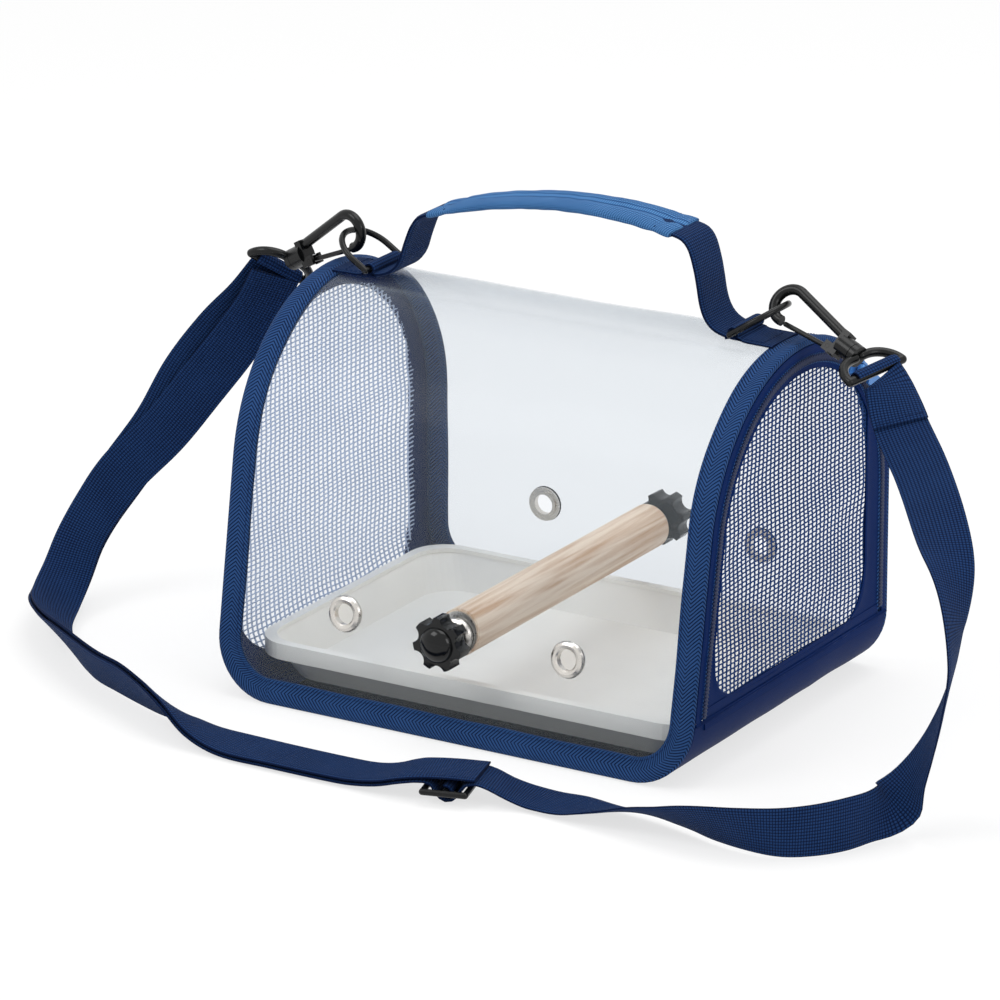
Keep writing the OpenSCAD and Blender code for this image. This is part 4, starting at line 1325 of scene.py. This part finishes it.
@dataclass
class ShoulderStrap:
    """The free shoulder strap: one ply to the adjuster, two from there to the left hook."""

    right_eye: Eye
    left_eye: Eye
    width: float = 25.0
    thickness: float = 1.5
    ply_gap: float = 1.1
    ply_gap_hook: float = 3.3
    lead_left: float = 3.0
    lead_right: float = 3.6
    eye_loop: float = 2.35
    adjuster_loop: float = 1.65
    slip: float = 5.5

    def lines(self) -> dict[str, tuple[np.ndarray, np.ndarray]]:
        """The middle line and the width's direction of both plies, in millimetres."""
        single, single_w = SINGLE_ROUTE[:, :3], unit(SINGLE_ROUTE[:, 3:])
        double, double_w = DOUBLE_ROUTE[:, :3], unit(DOUBLE_ROUTE[:, 3:])
        eye = self.left_eye
        double = np.vstack([double, eye.centre + self.lead_left * eye.square(double[-1])])
        double_w = np.vstack([double_w, -eye.bar])
        start = self.right_eye.centre + self.lead_right * self.right_eye.square(single[0])
        run = tangents(double)
        side = unit(double_w - (double_w * run).sum(1, keepdims=True) * run)
        out = np.cross(run, side)
        count = len(double)
        opened = np.array([max(0.0, (i - count + 5) / 4) for i in range(count)])
        gap = self.ply_gap + (self.ply_gap_hook - self.ply_gap) * opened
        slip = np.interp(np.arange(count), (20, 22.5, 25), (0.0, self.slip, 0.0))[:, None]
        rightward = side * np.sign(side[22] @ np.array([0.85, 0.52, 0.0]))
        apart = gap[:, None] * out + slip * rightward * np.sign(out[22] @ TO_CAMERA)
        upper, lower = double - apart, double + apart
        if upper[0, 2] < lower[0, 2]:
            upper, lower = lower, upper
        main = np.vstack([start, single, lower])
        main_w = np.vstack([self.right_eye.bar, single_w, double_w])
        back = np.vstack([[50.5, -145.3, 12.3], [36.0, -149.0, 12.1], upper])
        back_w = np.vstack([double_w[0], double_w[0], double_w])
        return {"strap_main": (main, main_w), "strap_return": (back, back_w)}

    def build(self, shop: Workshop) -> None:
        """Args:
            shop: the workshop.
        """
        lines = self.lines()
        for name, (points, widths) in lines.items():
            path, across = resample(points, 3.0, widths)
            across = unit(across)
            ply = band(name + "_webbing", path, across, self.width, self.thickness, 13)
            shop.place(ply, "webbing", replaces=[name])
        ends = (
            ("strap_loop_left", self.left_eye, DOUBLE_ROUTE[-1, :3]),
            ("strap_loop_right", self.right_eye, SINGLE_ROUTE[0, :3]),
        )
        for name, eye, after in ends:
            leaving = unit(after - eye.centre)
            self.loop(shop, name, Eye(eye.centre, eye.bar, leaving), self.eye_loop)
        adjuster = Eye(
            np.array([37.0, -149.0, 6.0]),
            unit(np.array([15.0, -53.0, 0.0])),
            np.array([-53.0, -15.0, 0.0]),
        )
        self.loop(shop, "adjuster_loop", adjuster, self.adjuster_loop)
        self.fold_back(shop, lines["strap_main"])

    def loop(self, shop: Workshop, name: str, eye: Eye, radius: float) -> None:
        """Wraps the webbing round a bar.

        Args:
            shop: the workshop.
            name: the CAD loop that it replaces.
            eye: the bar.
            radius: the loop's inner radius.
        """
        ahead = unit(eye.towards - (eye.towards @ eye.bar) * eye.bar)
        up = np.cross(eye.bar, ahead)
        middle = radius + self.thickness / 2
        angles = np.radians(np.linspace(70, 290, 25))
        path = np.array(
            [eye.centre + middle * (math.cos(a) * ahead + math.sin(a) * up) for a in angles]
        )
        widths = np.tile(eye.bar, (len(path), 1))
        sleeve = band(name + "_webbing", path, widths, self.width, self.thickness, 13)
        shop.place(sleeve, "webbing", replaces=[name])

    def fold_back(self, shop: Workshop, line: tuple[np.ndarray, np.ndarray]) -> None:
        """Builds the sewn end behind the strap at the right hook, with its row of stitches.

        Args:
            shop: the workshop.
            line: the main ply's points and widths.
        """
        path, across = resample(line[0], 3.0, line[1])
        across = unit(across)
        run = tangents(path)
        side = unit(across - (across * run).sum(1, keepdims=True) * run)
        out = np.cross(run, side)
        out = out if out[5] @ np.array([0.5, -0.8, 0.35]) > 0 else -out
        outer = path[:10] + out[:10] * (self.thickness + 0.12)
        end = band("strap_end_webbing", outer, across[:10], self.width + 0.5, self.thickness, 13)
        shop.place(end, "webbing")
        rows = []
        for k in (8.0, 8.5):
            at = path[int(k)] * (1 - k % 1) + path[int(k) + 1] * (k % 1)
            face = at + out[8] * (self.thickness * 1.5 + 0.2)
            rows.append([face + side[8] * w for w in np.linspace(-11.5, 11.5, 12)])
        for number, row in enumerate(rows):
            normals = np.tile(out[8], (12, 1))
            seam = stitches(f"strap_end_seam_{number}", np.array(row), normals, 2.3, 1.8, 0.24)
            shop.place(seam, "thread", slot="webbing")


@dataclass
class Handle:
    """The carrying handle: webbing sewn to the ridge and a padded grip folded round it."""

    profile: Profile
    grip_half: float = 67.0
    grip_rise: float = 9.0
    end_height: float = 41.0
    tilt: float = 0.078
    sag: float = 0.5
    fold_height: float = 16.0
    width: float = 25.0
    webbing: float = 2.2
    pad_half_width: float = 12.8
    pad_flare: float = 2.2
    pad_half_thickness: float = 2.7

    def __post_init__(self) -> None:
        """Works out the grip's arc."""
        self.arc = (self.grip_half**2 + self.grip_rise**2) / (2 * self.grip_rise)
        self.top = self.profile.height + self.end_height + self.grip_rise
        self.spread = math.asin(self.grip_half / self.arc)

    def build(self, shop: Workshop) -> None:
        """Builds the webbing and the grip.

        Args:
            shop: the workshop.
        """
        ridge = self.profile.height + 1.4
        grip_end = self.profile.height + self.end_height
        right = [
            (102.0, ridge + 0.3),
            (97.0, ridge + 0.5),
            (92.0, ridge + 1.3),
            (87.0, ridge + 3.4),
            (83.2, ridge + 7.2),
            (80.8, ridge + 12.5),
            (79.2, ridge + 19.5),
            (77.6, grip_end - 14.0),
            (74.9, grip_end - 6.5),
            (71.5, grip_end - 2.0),
        ]
        arc = [
            (self.arc * math.sin(a), self.top - self.arc + self.arc * math.cos(a))
            for a in np.linspace(self.spread, -self.spread, 15)
        ]
        line = [
            (x, z + self.slant(x, z)) for x, z in right + arc + [(-x, z) for x, z in right[::-1]]
        ]
        points = np.array([[x, self.profile.centre_y, z] for x, z in line])
        path = resample(points, 2.2)
        widths = np.tile([0.0, 1.0, 0.0], (len(path), 1))
        strap = band("handle_strap", path, widths, self.width, self.webbing, 13)
        shop.paint(strap, "webbing")
        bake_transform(strap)
        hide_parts("handle_webbing", "handle_feet")
        self.grip(shop)
        self.foot_stitches(shop)

    def slant(self, x: float, z: float) -> float:
        """How much the soft handle leans to its left end, which sinks a little."""
        share = (z - self.profile.height - 3) / (self.end_height - 8)
        share = min(max(share, 0.0), 1.0)
        return share * share * (3 - 2 * share) * (self.tilt * x - self.sag)

    def grip(self, shop: Workshop) -> None:
        """Builds the padded grip: two rolls with a sewn seam between them.

        Args:
            shop: the workshop.
        """
        rows, around = 61, 40
        points, uvs = [], []
        for i, a in enumerate(np.linspace(-self.spread * 0.985, self.spread * 0.985, rows)):
            share = i / (rows - 1)
            end = min(1.0, 6 * share, 6 * (1 - share))
            # the cloth is rolled narrow in the middle and lies flat at its open ends
            half_w = self.pad_half_width + self.pad_flare * (2 * abs(share - 0.5)) ** 3
            seam = math.exp(-(((abs(a) * self.arc - self.grip_half + 10) / 1.3) ** 2))
            centre = np.array(
                [self.arc * math.sin(a), 0.0, self.top - self.arc + self.arc * math.cos(a)]
            )
            out = np.array([math.sin(a), 0.0, math.cos(a)])
            for k in range(around):
                angle = 2 * math.pi * k / around
                c, s = math.cos(angle), math.sin(angle)
                y = half_w * math.copysign(abs(c) ** 0.75, c)
                roll = 1.0 - 0.75 * math.exp(-((y / 2.4) ** 2)) * (1 if s > 0 else 0.35)
                z = self.pad_half_thickness * math.copysign(abs(s) ** 0.7, s) * roll
                z *= (0.75 + 0.25 * end) * (1.0 - 0.5 * seam)
                wrinkle = 0.4 * noise.noise(Vector((a * self.arc / 6, angle * 2.2, 5.0)))
                point = centre + out * (z + wrinkle) + np.array(
                    [0.0, self.profile.centre_y + y, 0.0]
                )
                point[2] += self.slant(point[0], self.profile.height + self.end_height)
                points.append(tuple(point))
                uvs.append((a * self.arc, angle * 7.0))
        grip = make_mesh("grip_pad", points, grid_faces(rows, around, True, True), uvs)
        recalculate(grip)
        apply_modifier(grip, "SUBSURF", levels=1, render_levels=1)
        smooth(grip, 50)
        shop.place(grip, "grip_cloth", body="handle", replaces=["handle_grip"])
        for side, name in ((-1, "left"), (1, "right")):
            a = side * (self.grip_half - 10) / self.arc
            x, z = self.arc * math.sin(a), self.top - self.arc + self.arc * math.cos(a) + 1.75
            z += self.slant(x, self.profile.height + self.end_height)
            across = np.array(
                [
                    [x, self.profile.centre_y + y, z - 1.2 * math.exp(-((y / 2.4) ** 2)) - 0.45]
                    for y in np.linspace(-13, 13, 20)
                ]
            )
            normals = np.tile([math.sin(a), 0.0, math.cos(a)], (20, 1))
            row = stitches(f"{name}_grip_seam", across, normals, 2.4, 1.9, 0.22)
            shop.place(row, "thread", body="handle", slot="grip_cloth")

    def foot_stitches(self, shop: Workshop) -> None:
        """Builds the box of stitches that sews each foot of the handle to the ridge."""
        top = self.profile.height + 1.72
        middle = self.profile.centre_y
        for side, name in ((-1, "left"), (1, "right")):
            corners = [(103, -10), (113, -10), (113, 10), (103, 10), (103, -10)]
            path = []
            for (x0, y0), (x1, y1) in zip(corners, corners[1:]):
                for t in np.linspace(0, 1, 8, endpoint=False):
                    path.append((side * (x0 + (x1 - x0) * t), middle + y0 + (y1 - y0) * t, top))
            path = np.array(path)
            normals = np.tile([0.0, 0.0, 1.0], (len(path), 1))
            row = stitches(f"{name}_foot_stitching", path, normals, 2.6, 2.0, 0.24)
            shop.place(row, "thread", slot="webbing")


@dataclass
class RingTab:
    """A short webbing sewn on the ridge, with a loop that holds a ring's bar."""

    profile: Profile
    ring_x: float = 98.0
    bar_z: float = 188.48
    width: float = 25.0
    loop_radius: float = 2.4

    def build(self, shop: Workshop, side: int) -> None:
        """Builds the tab of one side.

        Args:
            shop: the workshop.
            side: 1 for the right end, -1 for the left.
        """
        ridge = self.profile.height + 0.85
        radius = self.loop_radius
        loop = [
            (self.ring_x + radius * math.cos(a), self.bar_z + radius * math.sin(a))
            for a in np.radians(np.linspace(-70, 250, 21))
        ]
        line = [(118.5, ridge - 0.1), (112.0, ridge), (104.0, ridge + 0.2), (100.6, ridge + 1.3)]
        line += loop + [(95.6, ridge + 1.2), (94.0, ridge + 0.3)]
        points = np.array([[side * x, self.profile.centre_y, z] for x, z in line])
        path = resample(points, 1.2)
        widths = np.tile([0.0, 1.0, 0.0], (len(path), 1))
        name = "right" if side > 0 else "left"
        tab = band(f"{name}_tab_webbing", path, widths, self.width, 1.5, 13)
        shop.place(tab, "webbing", replaces=[f"{name}_ring_tab"])


# ---------------------------------------------------------------- knobs


@dataclass
class StarKnob:
    """A black star knob with seven rounded lobes, a domed middle and a neck."""

    lobes: int = 7
    radius: float = 12.9
    thickness: float = 8.5
    seat: float = 6.5
    neck: float = 5.6
    notch: float = 4.3
    dome: float = 8.6
    dome_rise: float = 5.4
    edge: float = 1.1
    notch_reach: float = 1.4
    stand_off: float = 1.4

    def pillar(self, radius: float, low: float, high: float, at: Point = (0, 0, 0)) -> None:
        """Adds one upright cylinder between two heights, in millimetres, to what is edited."""
        bpy.ops.mesh.primitive_cylinder_add(
            vertices=48,
            radius=radius * MM,
            depth=(high - low) * MM,
            location=(at[0] * MM, at[1] * MM, (low + high) / 2 * MM),
        )

    def model(self) -> bpy.types.Object:
        """Models the knob upright on the origin, its seat at the bottom.

        Returns:
            The knob.
        """
        deselect()
        self.pillar(self.notch, self.seat - 4, self.seat + self.thickness + 4)
        cutter = bpy.context.object
        bpy.ops.object.mode_set(mode="EDIT")
        bpy.ops.mesh.delete(type="VERT")
        for k in range(self.lobes):
            angle = 2 * math.pi * (k + 0.5) / self.lobes
            reach = self.radius + self.notch_reach
            bpy.ops.mesh.select_all(action="DESELECT")
            self.pillar(
                self.notch,
                self.seat - 4,
                self.seat + self.thickness + 4,
                (reach * math.sin(angle), reach * math.cos(angle), 0),
            )
        bpy.ops.object.mode_set(mode="OBJECT")
        deselect()
        self.pillar(self.radius, self.seat, self.seat + self.thickness)
        knob = bpy.context.object
        apply_modifier(knob, "BOOLEAN", object=cutter, operation="DIFFERENCE", solver="EXACT")
        bpy.data.objects.remove(cutter)
        apply_modifier(
            knob,
            "BEVEL",
            width=self.edge * MM,
            segments=4,
            limit_method="ANGLE",
            angle_limit=math.radians(35),
        )
        pick(knob)
        bpy.ops.object.mode_set(mode="EDIT")
        bpy.ops.mesh.select_all(action="DESELECT")
        self.pillar(self.neck, 0, self.seat + 1)
        bpy.ops.mesh.select_all(action="DESELECT")
        bpy.ops.mesh.primitive_uv_sphere_add(
            segments=48,
            ring_count=24,
            radius=self.dome * MM,
            location=(0, 0, (self.seat + self.thickness - 0.3) * MM),
            scale=(1, 1, self.dome_rise / self.dome),
        )
        bpy.ops.mesh.select_all(action="SELECT")
        bpy.ops.mesh.normals_make_consistent(inside=False)
        bpy.ops.object.mode_set(mode="OBJECT")
        pick(knob)
        bpy.ops.object.transform_apply(location=True, rotation=True, scale=True)
        smooth(knob, 38)
        return knob

    def build(self, shop: Workshop, places: Sequence[tuple[str, str, float, float, int]]) -> None:
        """Models one knob and sets a copy of it, with its own mesh, on each stud.

        Args:
            shop: the workshop.
            places: for each knob the CAD node that it replaces, its body, the y and z where
                the sheet's face crosses its axis, and -1 for the front or 1 for the rear.
        """
        first = self.model()
        for node, body, y, z, way in places:
            knob = first.copy()
            knob.data = first.data.copy()
            knob.name = f"{node}_star"
            bpy.context.scene.collection.objects.link(knob)
            knob.rotation_euler = (math.radians(90 if way < 0 else -90), 0, 0)
            knob.location = (0, (y + way * self.stand_off) * MM, z * MM)
            pick(knob)
            bpy.ops.object.transform_apply(location=True, rotation=True, scale=True)
            shop.place(knob, "knob_plastic", body=body, replaces=[node])
        bpy.data.objects.remove(first)


# ---------------------------------------------------------------- stage and camera


@dataclass
class Studio:
    """Pale floor, soft lamps and the camera at the photograph's angle."""

    azimuth: float = 31.2947
    elevation: float = 18.8616
    roll: float = -0.1608
    distance: float = 3.0419
    scale: float = 2.1156
    aim_right: float = -24.17
    aim_up: float = 85.25

    def camera(self) -> None:
        """Places the camera; its aim is given along its own right and up, in millimetres."""
        az, el = math.radians(self.azimuth), math.radians(self.elevation)
        right = Vector((math.cos(az), math.sin(az), 0))
        back = Vector((math.sin(az) * math.cos(el), -math.cos(az) * math.cos(el), math.sin(el)))
        up = back.cross(right)
        place = (right * self.aim_right + up * self.aim_up) * MM + back * self.distance
        turned = Matrix.Rotation(math.radians(self.roll), 3, back)
        axes = Matrix((turned @ right, turned @ up, back)).transposed()
        data = bpy.data.cameras.new("camera")
        data.sensor_width = 36
        data.lens = 36 * self.scale * self.distance
        data.clip_end = 30
        camera = bpy.data.objects.new("camera", data)
        camera.matrix_world = Matrix.Translation(place) @ axes.to_4x4()
        bpy.context.scene.collection.objects.link(camera)
        bpy.context.scene.camera = camera

    def lamp(self, name: str, place: Point, aim: Point, size: float, power: float) -> None:
        """Adds one soft square lamp.

        Args:
            name: the lamp's name.
            place: where it stands, in metres.
            aim: what it points at.
            size: length of its side.
            power: its power in watts.
        """
        data = bpy.data.lights.new(name, "AREA")
        data.size = size
        data.energy = power
        lamp = bpy.data.objects.new(name, data)
        lamp.location = place
        lamp.rotation_euler = (Vector(aim) - Vector(place)).to_track_quat("-Z", "Y").to_euler()
        bpy.context.scene.collection.objects.link(lamp)

    def floor(self) -> None:
        """Lays the pale floor, which keeps the carrier's shadow."""
        deselect()
        bpy.ops.mesh.primitive_plane_add(size=12, location=(0, 0, -0.0004))
        floor = bpy.context.object
        floor.name = "studio_floor"
        material, graph = new_material("white_paper")
        values = {"Base Color": linear("#fbfbfb"), "Roughness": 0.9, "Specular IOR Level": 0.1}
        paper = graph.add("BsdfPrincipled", values)
        white = graph.add("Emission", {0: (1, 1, 1, 1), 1: 1.0})
        share = graph.math("MULTIPLY", self.seen_rays(graph), 0.7)
        graph.end(graph.add("MixShader", {0: share, 1: paper, 2: white}))
        floor.data.materials.append(material)

    def seen_rays(self, graph: Graph) -> Socket:
        """Tells the rays that make the picture from those that only carry light.

        Args:
            graph: the graph of the floor or the world.

        Returns:
            1 for rays of the camera, of reflections and through glass, and 0 for the others.
        """
        kinds = ("Camera", "Transmission", "Glossy")
        rays = [graph.add("LightPath", port=f"Is {kind} Ray") for kind in kinds]
        return graph.math("MAXIMUM", graph.math("MAXIMUM", *rays[:2]), rays[2])

    def world(self) -> None:
        """Sets a white surround for the camera and a plain soft light for everything else."""
        world = bpy.data.worlds.new("studio")
        world.use_nodes = True
        graph = Graph(world.node_tree)
        light = graph.add("Background", {0: (1, 1, 1, 1), 1: 0.7})
        white = graph.add("Background", {0: (1, 1, 1, 1), 1: 1.0})
        mix = graph.add("MixShader", {0: self.seen_rays(graph), 1: light, 2: white})
        graph.end(mix, "World")
        bpy.context.scene.world = world

    def build(self) -> None:
        """Builds the whole studio."""
        bpy.context.scene.view_settings.view_transform = "Standard"
        self.camera()
        self.floor()
        self.world()
        self.lamp("key_softbox", (-0.9, -1.3, 1.7), (0, 0, 0.1), 1.0, 13.0)
        self.lamp("top_softbox", (0.2, 0.3, 1.9), (0, 0, 0.1), 1.3, 14.0)
        self.lamp("right_softbox", (1.9, -0.5, 1.0), (0, 0, 0.1), 0.9, 9.0)


# ---------------------------------------------------------------- carried-over nodes


NODE_FINISHES: dict[str, str] = {
    "hoop_steel": "hoop_wire_left hoop_wire_right",
    "board": "base_board",
    "tray_plastic": "tray",
    "nickel": "front_eyelets rear_eyelets front_eyelet_washers rear_eyelet_washers perch_washers",
    "perch_wood": "perch",
    "insert_brass": "perch_inserts",
    "stud_steel": "front_knob_stud rear_knob_stud",
    "hook_plastic": "left_d_ring right_d_ring left_hook_body right_hook_body left_hook_gate "
    "right_hook_gate left_hook_eye right_hook_eye strap_adjuster",
    "leaf_steel": "left_gate_spring right_gate_spring",
    "slider_paint": "zip_slider zip_pull",
}


def dress_nodes(shop: Workshop) -> None:
    """Gives the carried-over CAD nodes their finishes.

    Args:
        shop: the workshop.
    """
    for finish, names in NODE_FINISHES.items():
        for name in names.split():
            shop.paint(shop.frame["nodes"][name], finish)


# From the centre of a hook's bow to the bar of its eye, in millimetres
EYE_REACH = 58.3


def eye_from(name: str, u: Sequence[float], e: Sequence[float], bow: Sequence[float]) -> Eye:
    """The bar of a swivel eye, from the hook's own axes.

    Args:
        name: the side, for the log.
        u: the hook's axis.
        e: the bar's direction before it is made square to the axis.
        bow: the centre of the hook's bow.

    Returns:
        The eye.
    """
    axis = unit(np.array(u))
    bar = np.array(e) - (np.array(e) @ axis) * axis
    centre = np.array(bow) + EYE_REACH * axis
    LOG.info("%s eye at %s", name, np.round(centre, 1))
    return Eye(centre, unit(bar), axis)


def main() -> None:
    """Builds the carrier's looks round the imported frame."""
    logging.basicConfig(level=logging.INFO, format="%(message)s")
    shop = Workshop(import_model())
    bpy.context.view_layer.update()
    studio = Studio()
    studio.build()
    profile = Profile()
    right_eye = eye_from(
        "right", (0.91, -0.27, -0.31), (0.33, 0.935, 0.14), (118.108, 14.032, 200.094)
    )
    left_eye = eye_from(
        "left", (-0.84, 0.22, -0.49), (0.49, 0.685, -0.54), (-118.653, 12.001, 200.230)
    )
    ShoulderStrap(right_eye, left_eye).build(shop)
    rear, front_z, rear_z, step = profile.half_depth, 49.16, 50.0, 60.0
    rows = ((profile.front_y(front_z, 0.0), front_z), (rear, rear_z))
    eyelets = [(i * step, y, z) for i in (-1, 0, 1) for y, z in rows]
    shell = Shell(profile, eyelets=eyelets)
    shell.clear_sheet(shop)
    shell.tape(shop)
    gusset = Gusset(profile)
    gusset.base(shop)
    gusset.windows(shop)
    Handle(profile).build(shop)
    for side in (-1, 1):
        RingTab(profile).build(shop, side)
    knobs = [
        ("front_knob", "front_screw", profile.front_y(rear_z, 0.0), rear_z, -1),
        ("rear_knob", "rear_screw", rear, rear_z, 1),
    ]
    StarKnob().build(shop, knobs)
    dress_nodes(shop)
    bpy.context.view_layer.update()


if __name__ == "__main__":
    main()
